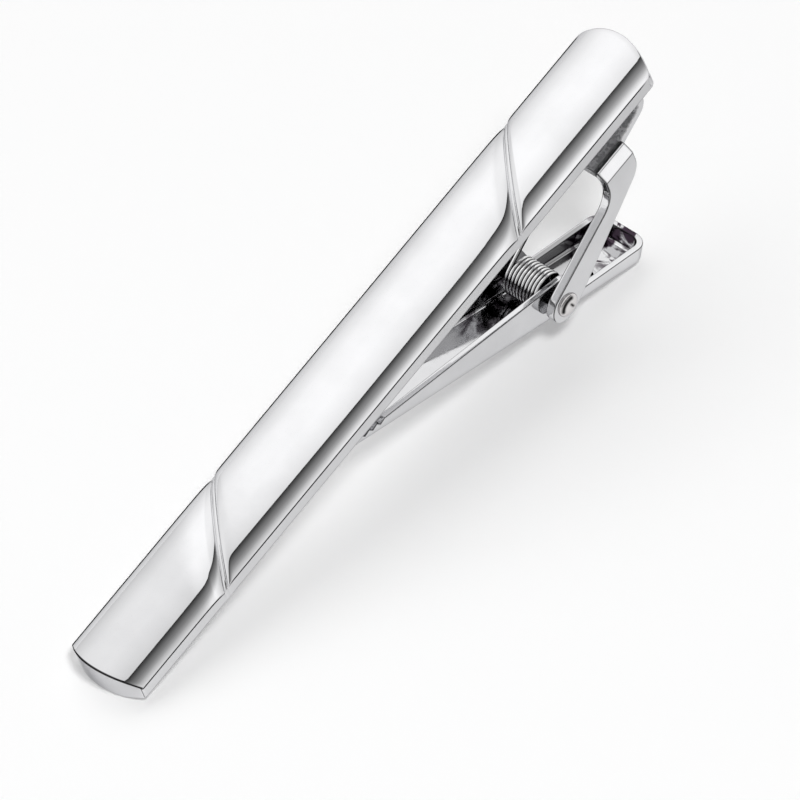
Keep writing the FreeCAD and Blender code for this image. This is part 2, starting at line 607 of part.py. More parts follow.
def make_spring():
    """The torsion spring: a wire wound round the rivet, with legs to the saddle and the thumb plate."""
    wire, coil = value("wire_diameter"), value("coil_radius")
    straight = 1.5 * wire + value("leg_bend")
    seat = Vector(value(f"bar_length / 2 - leg_inset - {PIN_X}"), 0,
                  value("pin_depth - saddle_drop - bracket_sheet"))
    up = Vector(0, 0, 1)
    knee = seat - up * straight
    rise = math.atan2(knee.z, knee.x) - math.asin(coil / math.hypot(knee.x, knee.z))

    lean = math.radians(value("closed_angle"))
    along = Vector(math.cos(lean), 0, -math.sin(lean))
    floor_up = Vector(math.sin(lean), 0, math.cos(lean))
    rest = along * value("lever_leg") + floor_up * value(f"{FLOOR_TOP} + leg_clearance")
    elbow = rest + floor_up * straight
    fall = -math.atan2(elbow.z, elbow.x) - math.asin(coil / math.hypot(elbow.x, elbow.z))

    side = value(f"{LEVER_WIDTH} / 2 - lever_sheet - coil_clearance - wire_diameter / 2")
    start, finish = math.pi / 2 + rise, 1.5 * math.pi - fall + 2 * math.pi * value("coil_turns")
    points, ways = winding(coil, side, start, finish)
    shift = Vector(0, side, 0)
    edges = corner_run(seat + shift, knee + shift, points[0])
    for n in range(len(points) - 1):
        edges += biarc(points[n], ways[n], points[n + 1], ways[n + 1])
    edges += corner_run(rest - shift, elbow - shift, points[-1])[::-1]
    path = Part.Wire(Part.__sortEdges__(edges))
    ring = Part.Wire(Part.Circle(seat + shift, up, wire / 2).toShape())
    spring = doc.addObject("Part::Feature", "torsion_spring")
    spring.Label = "torsion_spring"
    spring.Shape = path.makePipeShell([ring], True, False)
    print(f"torsion_spring: least gap between turns {least_gap(path, wire):.3f} mm")
    lay_down(spring, PIN_X, "(-pin_depth)", "rest_tilt", Vector(0, -1, 0))
    return spring


def winding(coil, side, start, finish):
    """Points a quarter turn apart or less along the coil, and the way that the wire runs at each."""
    count = math.ceil((finish - start) / math.pi)
    sweep = (finish - start) / count
    drop = -2 * side / count
    points, ways = [], []
    for n in range(count + 1):
        turn = start + n * sweep
        points.append(Vector(coil * math.cos(turn), side + n * drop, coil * math.sin(turn)))
        slope = 0 if n in (0, count) else drop / (coil * sweep)
        ways.append(Vector(-math.sin(turn), slope, math.cos(turn)).normalize())
    return points, ways


def corner_run(end, corner, start):
    """A straight end, a bend at the corner and a straight leg, listed from the end."""
    radius = value("leg_bend")
    out, leg = (end - corner).normalize(), (start - corner).normalize()
    half = out.getAngle(leg) / 2
    cut = radius / math.tan(half)
    bend_out, bend_leg = corner + out * cut, corner + leg * cut
    middle = corner + (out + leg).normalize() * (radius / math.sin(half) - radius)
    return [Part.LineSegment(end, bend_out).toShape(), Part.Arc(bend_out, middle, bend_leg).toShape(),
            Part.LineSegment(bend_leg, start).toShape()]


def biarc(start, way, end, end_way):
    """Two arcs that leave one point and reach another along given directions, and meet smoothly."""
    span = end - start
    both = way + end_way
    bend = 2 * (way.dot(end_way) - 1)
    pull = span.dot(both)
    reach = (pull - math.sqrt(pull ** 2 - bend * span.dot(span))) / bend
    first, second = start + way * reach, end - end_way * reach
    middle = (first + second) / 2
    return [tangent_arc(start, way, middle), tangent_arc(end, -end_way, middle)]


def tangent_arc(start, way, end):
    """The arc from a point that sets out one way and reaches another point."""
    chord = end - start
    inward = chord - way * chord.dot(way)
    radius = chord.dot(chord) / (2 * inward.Length)
    centre = start + inward.normalize() * radius
    middle = centre + ((start + end) / 2 - centre).normalize() * radius
    return Part.Arc(start, middle, end).toShape()


def least_gap(path, wire):
    """The least clear space between lengths of wire more than three wire diameters apart along it."""
    step = wire / 6
    points = path.discretize(Distance=step)
    apart = math.ceil(3 * wire / step)
    least = min((points[i] - points[j]).Length
                for i in range(len(points)) for j in range(i + apart, len(points)))
    return least - wire


def check(thing):
    """Stops the build where a feature failed or a solid is not one sound solid."""
    members = thing.Group if thing.isDerivedFrom("PartDesign::Body") else []
    for member in [thing, *members]:
        if {"Invalid", "Error"} & set(member.State):
            raise RuntimeError(f"{member.Name} is {member.State}")
    if not thing.Shape.isValid() or len(thing.Shape.Solids) != 1 or thing.Shape.Volume <= 0:
        raise RuntimeError(f"{thing.Label} is not one sound solid")


made = [make_bar(), make_bracket(), make_solder(), make_pin(), make_lever(), make_spring()]
doc.recompute()
for thing in made:
    check(thing)
    thing.Shape.exportStep(f"parts/{thing.Label}.step")
    print(f"{thing.Label}: {thing.Shape.Volume:.2f} cubic mm")
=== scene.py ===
"""A sprung tie clip: the pieces as seen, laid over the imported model, and the studio round them."""

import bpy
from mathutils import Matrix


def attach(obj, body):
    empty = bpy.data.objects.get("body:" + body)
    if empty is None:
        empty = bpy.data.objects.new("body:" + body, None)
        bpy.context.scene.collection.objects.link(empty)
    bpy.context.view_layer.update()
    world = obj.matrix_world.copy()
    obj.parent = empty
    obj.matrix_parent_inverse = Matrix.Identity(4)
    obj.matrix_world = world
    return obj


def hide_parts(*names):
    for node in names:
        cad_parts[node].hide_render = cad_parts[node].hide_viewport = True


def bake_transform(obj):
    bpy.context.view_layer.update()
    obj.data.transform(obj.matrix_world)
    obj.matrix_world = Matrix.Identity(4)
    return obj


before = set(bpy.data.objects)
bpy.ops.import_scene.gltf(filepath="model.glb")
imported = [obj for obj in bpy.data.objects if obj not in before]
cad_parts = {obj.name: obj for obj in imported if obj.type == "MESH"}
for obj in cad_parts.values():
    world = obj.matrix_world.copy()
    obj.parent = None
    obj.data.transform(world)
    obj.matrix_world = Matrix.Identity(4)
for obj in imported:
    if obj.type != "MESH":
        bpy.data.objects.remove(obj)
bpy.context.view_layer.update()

import math

import bmesh
import bpy
import numpy as np
from mathutils import Matrix, Vector

bl_info = {
    "name": "Sprung tie clip",
    "version": (1, 0, 0),
    "blender": (4, 5, 0),
    "location": "View3D > Sidebar > Tie clip",
    "description": "Builds a sprung tie clip piece by piece, and the studio it is shown in",
    "category": "Add Mesh",
}

MM = 0.001


def length(name, description, millimetres):
    """A length property whose default is given in millimetres."""
    return bpy.props.FloatProperty(
        name=name,
        description=description,
        default=millimetres * MM,
        precision=5,
        unit="LENGTH",
        subtype="DISTANCE",
    )


def angle(name, description, degrees):
    """An angle property whose default is given in degrees."""
    return bpy.props.FloatProperty(
        name=name, description=description, default=math.radians(degrees), unit="ROTATION", subtype="ANGLE"
    )


def colour(name, description, red, green, blue):
    """A colour property in linear light."""
    return bpy.props.FloatVectorProperty(
        name=name,
        description=description,
        default=(red, green, blue),
        min=0.0,
        max=1.0,
        size=3,
        subtype="COLOR",
    )


def factor(name, description, default):
    """A plain number from nought to one."""
    return bpy.props.FloatProperty(
        name=name, description=description, default=default, min=0.0, max=1.0, subtype="FACTOR"
    )


def power(name, description, watts):
    """The power of a lamp, in watts."""
    return bpy.props.FloatProperty(name=name, description=description, default=watts, min=0.0, unit="POWER")


class TIECLIP_PG_seat(bpy.types.PropertyGroup):
    """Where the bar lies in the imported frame."""

    bar_x: length("Bar middle across", "where the middle of the bar's back lies, along X", 0.44614)
    bar_z: length("Bar middle up", "where the middle of the bar's back lies, along Z", 9.51761)
    tilt: angle("Tilt", "how far the hinge end of the bar is raised at rest", 18.2449)
    closed: angle("Closed angle", "angle between the bar's back and the lever's floor", 28.99)


class TIECLIP_PG_bar(bpy.types.PropertyGroup):
    """Sizes of the front bar."""

    full_length: length("Length", "over both rounded ends", 60.8)
    width: length("Width", "across the bar", 6.6)
    edge: length("Edge height", "height of the upright edge", 1.4)
    crown: length("Crown", "rise of the dome above the edge", 1.45)
    end_bulge: length("End bulge", "how far the rounded ends stand out", 1.05)
    edge_round: length("Edge round", "radius of the polished edges", 0.16)
    groove_plain: length("Plain end cuts", "distance of the cuts from the plain end", 13.7)
    groove_hinge: length("Hinge end cuts", "distance of the cuts from the hinge end", 13.3)
    groove_slant: angle("Cut slant", "slant of the cuts against the bar", 45.0)
    groove_pair: length("Cut spacing", "distance between the two cuts of a pair", 0.27)
    groove_width: length("Cut width", "width of one cut", 0.19)
    groove_depth: length("Cut depth", "depth of one cut", 0.06)
    dip: length("Dip", "how far the metal slopes down to the cuts", 0.31)
    dip_slope: length("Dip slope", "reach of the steep part of that slope", 0.32)
    dip_run: length("Dip run", "reach of the gentle part of that slope", 0.9)
    dip_step: length("Dip step", "place of the short rise past the cuts", 0.35)
    # the far line is a painted dark reflection
    far_line: length("Far line", "width of the dark line along the far edge", 0.31)
    corner_round: length("Corner round", "radius of the corners at the hinge end", 0.3)


class TIECLIP_PG_bracket(bpy.types.PropertyGroup):
    """Sizes of the hinge bracket, its solder and its rivet."""

    sheet: length("Sheet", "thickness of the bracket", 0.75)
    width: length("Width", "over both ears", 7.0)
    bend: length("Bend", "inside radius of the bends", 0.1)
    strap_width: length("Strap width", "width of the folded strap", 5.1)
    strap_inset: length("Strap inset", "distance of the fold from the bar's end", 1.85)
    fold_drop: length("Fold drop", "distance of the fold's underside from the bar's back", 2.7)
    foot_reach: length("Foot reach", "length of the soldered foot", 6.5)
    foot_corner: length("Foot corner", "corner radius of the foot", 0.7)
    saddle_drop: length("Saddle drop", "distance of the saddle from the bar's back", 2.8)
    saddle_inset: length("Saddle inset", "distance of the saddle from the bar's end", 4.95)
    saddle_length: length("Saddle length", "length of the saddle along the bar", 3.1)
    throat_drop: length("Throat drop", "depth of the corner on the jaw side of the ears", 5.9)
    throat_round: length("Throat round", "radius of that corner", 2.2)
    shoulder_drop: length("Shoulder drop", "depth of the corner on the thumb side of the ears", 5.65)
    shoulder_round: length("Shoulder round", "radius of that corner", 2.0)
    ear_round: length("Ear round", "radius of the ear's end round the rivet", 1.5)
    edge_round: length("Edge round", "radius of the tumbled edges", 0.1)
    bead_leg: length("Bead leg", "reach of the solder on the foot and on the bar", 0.43)
    pin_setback: length("Rivet setback", "distance of the rivet from the bar's end", 14.9)
    pin_depth: length("Rivet depth", "distance of the rivet from the bar's back", 10.7)
    pin_diameter: length("Rivet shank", "diameter of the shank", 1.5)
    head_diameter: length("Rivet head", "diameter of the heads", 1.9)
    head_height: length("Head height", "height of the heads", 0.42)
    head_dish: length("Head dish", "depth of the hollow that the riveting left in the heads", 0.025)


class TIECLIP_PG_lever(bpy.types.PropertyGroup):
    """Sizes of the clip lever."""

    width: length("Width", "outside width of the channel", 4.85)
    sheet: length("Sheet", "thickness of the lever", 0.5)
    bend: length("Bend", "inside radius along the floor", 0.35)
    floor_depth: length("Floor depth", "distance of the floor's outside from the rivet", 2.38)
    jaw_length: length("Jaw length", "from the rivet to the tip", 24.8)
    jaw_lip: length("Jaw lip", "height of the rim above the floor at the tip", 0.2)
    lug_height: length("Lug height", "height of the lugs above the rivet", 1.5)
    lug_reach: length("Lug reach", "distance of the lugs' peak past the rivet", 0.9)
    lug_round: length("Lug round", "radius of the lugs' peak", 1.2)
    thumb_root: length("Thumb root", "distance of the thumb plate's start past the rivet", 2.9)
    root_round: length("Root round", "radius where the lugs run into the thumb plate", 0.7)
    thumb_length: length("Thumb length", "from the rivet to the thumb end", 10.8)
    wall_root: length("Wall at the root", "height of the thumb plate's rim at its start", 1.5)
    wall_end: length("Wall at the end", "height of the thumb plate's rim at its end", 1.9)
    tooth_start: length("Tooth start", "distance of the first notch from the tip", 2.0)
    tooth_pitch: length("Tooth pitch", "distance between notches", 0.85)
    tooth_depth: length("Tooth depth", "depth of a notch", 0.32)
    tooth_count: bpy.props.IntProperty(name="Teeth", description="number of notches", default=5, min=1)
    thumb_round: length("Thumb corner", "corner radius of the thumb end, seen from above", 1.3)
    edge_round: length("Edge round", "radius of the tumbled rim", 0.06)


class TIECLIP_PG_spring(bpy.types.PropertyGroup):
    """Sizes of the torsion spring."""

    wire: length("Wire", "diameter of the wire", 0.32)
    coil: length("Coil radius", "radius of the wire's centre line", 1.42)
    turns: bpy.props.IntProperty(name="Turns", description="whole turns of the coil", default=9, min=1)
    near_side: length("Coil near side", "distance of the nearest turn from the middle", 1.645)
    far_side: length("Coil far side", "distance of the furthest turn from the middle", 1.2)
    leg_inset: length("Leg inset", "distance of the upper leg from the bar's end", 5.6)
    lever_leg: length("Lever leg", "reach of the lower leg along the lever", 5.2)
    leg_clearance: length("Leg clearance", "height of the lower leg's end above the floor", 0.25)
    leg_bend: length("Leg bend", "radius of the bends in the legs", 0.4)


class TIECLIP_PG_finish(bpy.types.PropertyGroup):
    """Colours of the metals."""

    bar: colour("Bar", "polished plating of the bar", 0.7, 0.7, 0.71)
    sheet: colour("Sheet", "plating of the bracket and the lever", 0.7, 0.7, 0.71)
    rivet: colour("Rivet", "plating of the rivet", 0.74, 0.72, 0.72)
    wire: colour("Wire", "drawn spring wire", 0.85, 0.85, 0.85)
    solder: colour("Solder", "dull solder", 0.42, 0.42, 0.43)
    rim: colour("Rim", "tint of the metal seen edge on", 0.45, 0.45, 0.46)
    # painted dark reflection and shade: lines along the edges, the rivet's crescents, the wire's flanks, the
    # lever's far wall
    line: colour("Edge line", "dark line left along the polished edges", 0.02, 0.02, 0.02)
    # painted shade: the grey that darkens the saddle's top and the strap's inner face under the bar
    dull: colour("Dull", "grey of the unpolished patches on the bracket", 0.42, 0.42, 0.43)
    # painted shade and dark reflections: the blotches inside the lever by the spring and in the thumb end
    tarnish: colour("Tarnish", "dark blotches inside the thumb end", 0.05, 0.035, 0.05)


class TIECLIP_PG_studio(bpy.types.PropertyGroup):
    """The camera, the light and the ground."""

    azimuth: angle("Azimuth", "how far round the camera stands", -49.82)
    elevation: angle("Elevation", "how high the camera stands", 46.005)
    field: length("Field", "width of the picture at the clip", 56.636)
    aim_x: length("Aim across", "middle of the picture, along X", 0.795)
    aim_y: length("Aim away", "middle of the picture, along Y", -2.845)
    aim_z: length("Aim up", "middle of the picture, along Z", 8.002)
    lens: length("Lens", "focal length of the camera", 1300.0)
    fill: factor("Fill", "how much the tent lights the ground", 0.4)
    key: power("Key", "power of the small lamp beside and above the camera", 6.0)
    far: power("Far", "power of the wide lamp behind the bar", 4.6)


class TIECLIP_PG_clip(bpy.types.PropertyGroup):
    """All the settings of the clip."""

    seat: bpy.props.PointerProperty(type=TIECLIP_PG_seat)
    bar: bpy.props.PointerProperty(type=TIECLIP_PG_bar)
    bracket: bpy.props.PointerProperty(type=TIECLIP_PG_bracket)
    lever: bpy.props.PointerProperty(type=TIECLIP_PG_lever)
    spring: bpy.props.PointerProperty(type=TIECLIP_PG_spring)
    finish: bpy.props.PointerProperty(type=TIECLIP_PG_finish)
    studio: bpy.props.PointerProperty(type=TIECLIP_PG_studio)


def turned(points, tilt):
    """Points turned about Y so that +X rises by tilt."""
    c, s = math.cos(tilt), math.sin(tilt)
    return points @ np.array([[c, 0.0, -s], [0.0, 1.0, 0.0], [s, 0.0, c]]).T


def on_bar(clip, points):
    """Points in the bar's own frame, X along the bar, Z out of its front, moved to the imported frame."""
    return turned(points, clip.seat.tilt) + np.array([clip.seat.bar_x, 0.0, clip.seat.bar_z])


def pin_place(clip):
    """The rivet's middle in the bar's own frame."""
    return np.array([clip.bar.full_length / 2 - clip.bracket.pin_setback, 0.0, -clip.bracket.pin_depth])


def grid_quads(rows, columns, close_rows=False, close_columns=False):
    """Corner numbers of the quads between neighbouring rows and columns of a grid of points."""
    row, column = np.meshgrid(
        np.arange(rows if close_rows else rows - 1),
        np.arange(columns if close_columns else columns - 1),
        indexing="ij",
    )
    next_row, next_column = (row + 1) % rows, (column + 1) % columns
    corners = [
        row * columns + column,
        row * columns + next_column,
        next_row * columns + next_column,
        next_row * columns + column,
    ]
    return np.stack(corners, -1).reshape(-1, 4).tolist()


def new_piece(name, points, faces, material, sharp=40.0, **marks):
    """A closed mesh at the origin with its faces outward, smooth but for edges sharper than sharp degrees.

    Each mark is a number for every point, which the material reads under that name."""
    weld, sliver = 2e-7, 1e-8
    mesh = bpy.data.meshes.new(name)
    mesh.from_pydata(np.asarray(points).reshape(-1, 3).tolist(), [], faces)
    for key, shares in marks.items():
        mark = mesh.attributes.new(key, "FLOAT", "POINT")
        mark.data.foreach_set("value", np.asarray(shares, np.float32).ravel())
    work = bmesh.new()
    work.from_mesh(mesh)
    bmesh.ops.remove_doubles(work, verts=work.verts, dist=weld)
    bmesh.ops.dissolve_degenerate(work, edges=work.edges, dist=sliver)
    bmesh.ops.recalc_face_normals(work, faces=work.faces)
    work.to_mesh(mesh)
    work.free()
    mesh.shade_smooth()
    mesh.set_sharp_from_angle(angle=math.radians(sharp))
    mesh.materials.append(material)
    piece = bpy.data.objects.new(name, mesh)
    bpy.context.scene.collection.objects.link(piece)
    return piece


def rounded_path(corners, radii, step):
    """A run of straight lines with an arc at each inner corner, as points about a step apart."""
    corners = [np.asarray(corner, float) for corner in corners]
    at = corners[0]
    parts = []
    for before, here, after, radius in zip(corners, corners[1:], corners[2:], radii):
        back = (before - here) / np.linalg.norm(before - here)
        on = (after - here) / np.linalg.norm(after - here)
        half = math.acos(np.clip(back @ on, -1, 1)) / 2
        sweep = math.pi - 2 * half
        cut = radius / math.tan(half)
        first, last = here + back * cut, here + on * cut
        middle = here + (back + on) / np.linalg.norm(back + on) * radius / math.sin(half)
        t = np.linspace(0, sweep, max(4, int(radius * sweep / step)))[:, None]
        swing = np.sin(sweep - t) * (first - middle) + np.sin(t) * (last - middle)
        parts += [straight(at, first, step)[:-1], middle + swing / math.sin(sweep)]
        at = last
    parts.append(straight(at, corners[-1], step)[1:])
    return np.concatenate(parts)


def straight(start, end, step):
    """Points along a line, about a step apart."""
    count = max(2, int(np.linalg.norm(end - start) / step) + 1)
    return start + np.linspace(0, 1, count)[:, None] * (end - start)


def resampled(path, count):
    """The same path as count points spread evenly along its length."""
    far = np.concatenate([[0], np.cumsum(np.linalg.norm(np.diff(path, axis=0), axis=1))])
    at = np.linspace(0, far[-1], count)
    return np.stack([np.interp(at, far, column) for column in path.T], -1)


def bar_section(bar):
    """Across the bar, by the angle of the face: the dome's arc, a small arc at each edge and the flat back.

    Rows of y, z, normal y, normal z, how much a cut bites, how much a dip lowers and how dark the painted
    reflection line on the edge is, first along the top from the near side to the far one and then along the
    back, point under point."""
    edge_steps, dome_steps = 10, 99
    fade, under_dark = 0.03, 0.3
    line_foot, line_end, back_rise = 0.05 * MM, 0.13 * MM, 0.09 * MM
    half, small = bar.width / 2, bar.edge_round
    dome = (half**2 + bar.crown**2) / (2 * bar.crown)
    middle = bar.edge + bar.crown - dome
    side = half - small
    limit = math.asin(side / (dome - small))
    shelf = middle + math.sqrt((dome - small) ** 2 - side**2)
    edge = np.linspace(limit, math.pi / 2, edge_steps)[1:]
    face = np.concatenate([-edge[::-1], np.linspace(-limit, limit, dome_steps), edge])
    on_dome = np.abs(face) <= limit + 1e-9
    y = np.where(on_dome, dome * np.sin(face), np.sign(face) * side + small * np.sin(face))
    z = np.where(on_dome, middle + dome * np.cos(face), shelf + small * np.cos(face))
    past = np.clip((np.abs(face) - limit) / (math.pi / 2 - limit), 0, 1)
    # the painted dark reflection line on the near edge runs from two to three fifths of the way round its
    # small arc, the far one lies on the dome
    near = np.clip(5 * past - 2, 0, 1)
    far = np.clip((face - limit + bar.far_line / dome) / fade, 0, 1)
    dark = np.where(face > 0, far, near)
    top = np.stack([y, z, np.sin(face), np.cos(face), 1 - past, 0 * y + 1, dark])
    levels = np.array([shelf - line_foot, shelf - line_end, small + back_rise])
    land = np.stack([0 * levels + half, levels, [1, 1, 1], [0, 0, 0], [0, 0, 0], [1, 1, 0], [1, 0, 0]])
    flip = np.array([[-1, 1, -1, 1, 1, 1, 1]]).T
    top = np.concatenate([(land * flip)[:, ::-1], top, land], axis=1)
    y = top[0]
    past = np.clip(np.abs(y) - side, 0, small) / small
    level = np.sqrt(1 - past**2)
    # a fainter painted dark reflection line along the back's rounded edges
    dark = under_dark * (past > 0.7)
    under = np.stack([y, small - small * level, np.sign(y) * past, -level, 0 * y, 0 * y, dark])
    return np.concatenate([top, under[:, ::-1]], axis=1)


def bar_surface(bar):
    """The bar: its section carried along lines that start at one rounded end, turn parallel to each pair of
    cuts and finish at the other end.

    Each pair of cuts is two fine notches at the foot of a long slope, with a short rise past them. The last
    grid marks the painted dark reflection lines along the edges, which stop at the cuts and short of the
    hinge end."""
    band, first_cut = 3.2 * MM, 0.03 * MM
    steep, rise = 0.62, 0.1 * MM
    break_at, break_reach = 0.2 * MM, 0.36 * MM
    end_gap, end_fade = 0.3 * MM, 0.5 * MM
    y, z, ny, nz, bite, lower, dark = bar_section(bar)
    half, small = bar.width / 2, bar.edge_round
    swing = (half**2 + bar.end_bulge**2) / (2 * bar.end_bulge)
    end = bar.full_length / 2 - swing + np.sqrt(swing**2 - y**2)
    over = np.clip(np.abs(y) - half + bar.corner_round, 0, bar.corner_round)
    last = end - bar.corner_round + np.sqrt(np.maximum(bar.corner_round**2 - over**2, 0))
    lean = y / math.tan(bar.groove_slant)
    plain = -bar.full_length / 2 + bar.groove_plain + lean
    hinge = bar.full_length / 2 - bar.groove_hinge + lean
    lines = np.stack([-end + small, plain - band, plain + band, hinge - band, hinge + band, last - small])
    # the lines lie closest in the middle of each band, where the cuts are
    spacing = [np.linspace(0, 0.3, 14)[:-1], np.linspace(0.3, 0.7, 110), np.linspace(0.7, 1, 10)[1:]]
    fine, coarse = np.concatenate(spacing), np.linspace(0, 1, 30)
    at = np.concatenate([coarse[:-1], 1 + fine[:-1], 2 + coarse[:-1], 3 + fine[:-1], 4 + coarse])
    leg = np.clip(at.astype(int), 0, 4)
    part = (at - leg)[:, None]
    x = lines[leg] * (1 - part) + lines[leg + 1] * part
    turn = np.linspace(0, math.pi / 2, 9)[:-1]
    inset, pull = small * (1 - np.cos(turn)), small * (1 - np.sin(turn))
    x = np.concatenate([inset[:, None] - end, x, last - inset[::-1, None]])
    shrink = np.concatenate([pull, np.zeros(len(at)), pull[::-1]])[:, None]
    # a painted dark reflection line follows the edge of the plain end
    crest = np.clip(1.5 * np.sin(2 * turn), 0, 1)
    ends = np.concatenate([crest, np.zeros(len(at) + len(turn))])[:, None] * bite
    cut, sunk = np.zeros_like(x), np.zeros_like(x)
    kept = np.clip((last - end_gap - x) / end_fade, 0, 1)
    for centre in (plain, hinge):
        away = (x - centre) * math.sin(bar.groove_slant)
        before = np.minimum(away, 0)
        slope = steep * np.exp(before / bar.dip_slope) + (1 - steep) * np.exp(before / bar.dip_run)
        sunk += bar.dip * slope / (1 + np.exp(np.clip((away - bar.dip_step) / rise, -50, 50)))
        kept *= 1 - np.exp(-(((away - break_at) / break_reach) ** 2))
        for offset in (first_cut, first_cut + bar.groove_pair):
            across = np.clip((away - offset) / (bar.groove_width / 2), -1, 1)
            cut += bar.groove_depth * (1 + np.cos(math.pi * across)) / 2
    inward = cut * np.where(y < 0, lower, bite) + shrink
    points = np.stack([x, y - ny * inward, z - nz * inward - sunk * lower], -1)
    rows, columns = x.shape
    top = np.arange(columns // 2 - 1)
    cap = np.stack([top, top + 1, columns - 2 - top, columns - 1 - top], -1)
    caps = cap.tolist() + (cap + (rows - 1) * columns).tolist()
    return points, grid_quads(rows, columns, close_columns=True) + caps, np.maximum(dark * kept, ends)


# The columns of a ribbon that lie on its inner face
INNER_FACE = slice(9, 21)


def ribbon(left, right, normal, sheet, bevel):
    """A strip of sheet metal: a rounded rectangle from the left edge to the right one, carried along a path.

    The outer face follows the two edges, and the thickness is taken against the normal. The last grid marks
    the rounded corners, where the painted dark reflection line runs."""
    span = right - left
    width = np.linalg.norm(span, axis=1)[:, None]
    good = np.flatnonzero(width[:, 0] > 1e-6)
    nearest = good[np.abs(np.arange(len(width))[:, None] - good).argmin(1)]
    side = (span / np.maximum(width, 1e-9))[nearest][:, None]
    bevel = np.minimum(np.minimum(bevel, sheet / 2), 0.45 * width)[:, None]
    turn = np.linspace(0, math.pi / 2, 5)[None, :, None]
    left, right, out = left[:, None], right[:, None], normal[:, None]
    keep = np.minimum(2.0 * bevel, 0.49 * width[:, None])
    loop = [
        left + side * keep,
        right - side * keep,
        right - (side + out) * bevel + bevel * (np.sin(turn) * side + np.cos(turn) * out),
        right - out * (bevel * 2),
        right - out * (sheet - bevel * 2),
        right - side * bevel - out * (sheet - bevel) + bevel * (np.cos(turn) * side - np.sin(turn) * out),
        right - side * keep - out * sheet,
        left + side * keep - out * sheet,
        left + side * bevel - out * (sheet - bevel) - bevel * (np.sin(turn) * side + np.cos(turn) * out),
        left - out * (sheet - bevel * 2),
        left - out * (bevel * 2),
        left + (side - out) * bevel + bevel * (np.sin(turn) * out - np.cos(turn) * side),
    ]
    points = np.concatenate(loop, axis=1)
    rows, columns = points.shape[:2]
    faces = grid_quads(rows, columns, close_columns=True)
    caps = [list(range(columns)), list(range((rows - 1) * columns, rows * columns))]
    peak = np.array([0.0, 0.7, 1.0, 0.7, 0.0])
    corner = np.concatenate([peak if grid.shape[1] > 1 else [0.0] for grid in loop])
    return points, faces + caps, np.broadcast_to(corner, (rows, columns))


def ear_outline(clip):
    """The ear's two edges in the bar's XZ plane, from the saddle's bend down to the point past the rivet."""
    bracket = clip.bracket
    end = clip.bar.full_length / 2
    back = end - bracket.saddle_inset
    front = back - bracket.saddle_length
    top = -bracket.saddle_drop - bracket.bend - bracket.sheet
    pin = pin_place(clip)[[0, 2]]
    throat, shoulder = np.array([front, -bracket.throat_drop]), np.array([back, -bracket.shoulder_drop])
    turns = []
    for start, side in ((throat, 1), (shoulder, -1)):
        gap = start - pin
        lean = math.acos(bracket.ear_round / np.linalg.norm(gap))
        turns.append(math.atan2(gap[1], gap[0]) + side * lean)
    upper, lower = turns
    peak = (upper + lower + 2 * math.pi) / 2
    around = [np.linspace(upper, peak, 40), np.linspace(lower + 2 * math.pi, peak, 40)]
    arcs = [pin + bracket.ear_round * np.stack([np.cos(t), np.sin(t)], -1) for t in around]
    step = 0.02 * MM
    left = rounded_path([(front, top), throat, arcs[0][0]], [bracket.throat_round], step)
    right = rounded_path([(back, top), shoulder, arcs[1][0]], [bracket.shoulder_round], step)
    return [np.concatenate([resampled(path, 200)[:-1], arc]) for path, arc in zip((left, right), arcs)]


def ears_surface(clip):
    """The saddle with its two ears: a strip carried from the near ear's end over the saddle to the far one.

    Each bend is a flattened arc, turning fast at both ends and slowly between. The last two grids mark the
    painted dark reflection lines, and the saddle's top, which is rougher and darkened with painted shade."""
    bracket = clip.bracket
    left, right = ear_outline(clip)
    half, outer = bracket.width / 2, bracket.bend + bracket.sheet
    fine_steps, bend_steps, top_steps = 200, 40, 7
    part = np.linspace(0, 1, fine_steps + 1)
    turn = np.interp(part, [0, 0.12, 0.84, 1], np.radians([0, 22, 31, 90]))
    reach, climb = np.cumsum(np.sin(turn)), np.cumsum(np.cos(turn))
    pick = np.linspace(0, fine_steps, bend_steps + 1).astype(int)[1:]
    count, level = len(left), np.linspace(-half + outer, 0, top_steps + 1)[1:]
    bend_y, bend_z = -half + outer * reach[pick] / reach[-1], outer * climb[pick] / climb[-1]
    bend_lean = np.arctan2(np.sin(turn[pick]) / reach[-1], np.cos(turn[pick]) / climb[-1])
    y = np.concatenate([np.full(count, -half), bend_y, level])
    rise = np.concatenate([np.zeros(count), bend_z, np.full(top_steps, outer)])
    lean = np.concatenate([np.zeros(count), bend_lean, np.full(top_steps, math.pi / 2)])
    row_line, row_dull = np.zeros((2, len(y)))
    bend_end = count + bend_steps
    # painted dark reflection lines where the ear meets the bend and at the bend's upper end
    row_line[count - 1:count + 2] = 0.7, 0.9, 0.7
    row_line[bend_end - 4:bend_end] = 0.5, 0.8, 0.8, 0.8
    # the saddle's top is rougher and darkened with painted shade
    row_dull[bend_end:] = 1.0
    extra = len(y) - count
    edges = []
    for line in (left, right):
        flat = np.concatenate([line[::-1], np.repeat(line[:1], extra, axis=0)])
        near = np.stack([flat[:, 0], y, flat[:, 1] + rise], -1)
        edges.append(np.concatenate([near, (near * [1, -1, 1])[-2::-1]]))
    normal = np.stack([0 * lean, -np.cos(lean), np.sin(lean)], -1)
    normal = np.concatenate([normal, (normal * [1, -1, 1])[-2::-1]])
    points, faces, corner = ribbon(edges[0], edges[1], normal, bracket.sheet, bracket.edge_round)
    row_line, row_dull = (np.concatenate([row, row[-2::-1]])[:, None] for row in (row_line, row_dull))
    return points, faces, np.maximum(corner, row_line), row_dull + 0 * corner


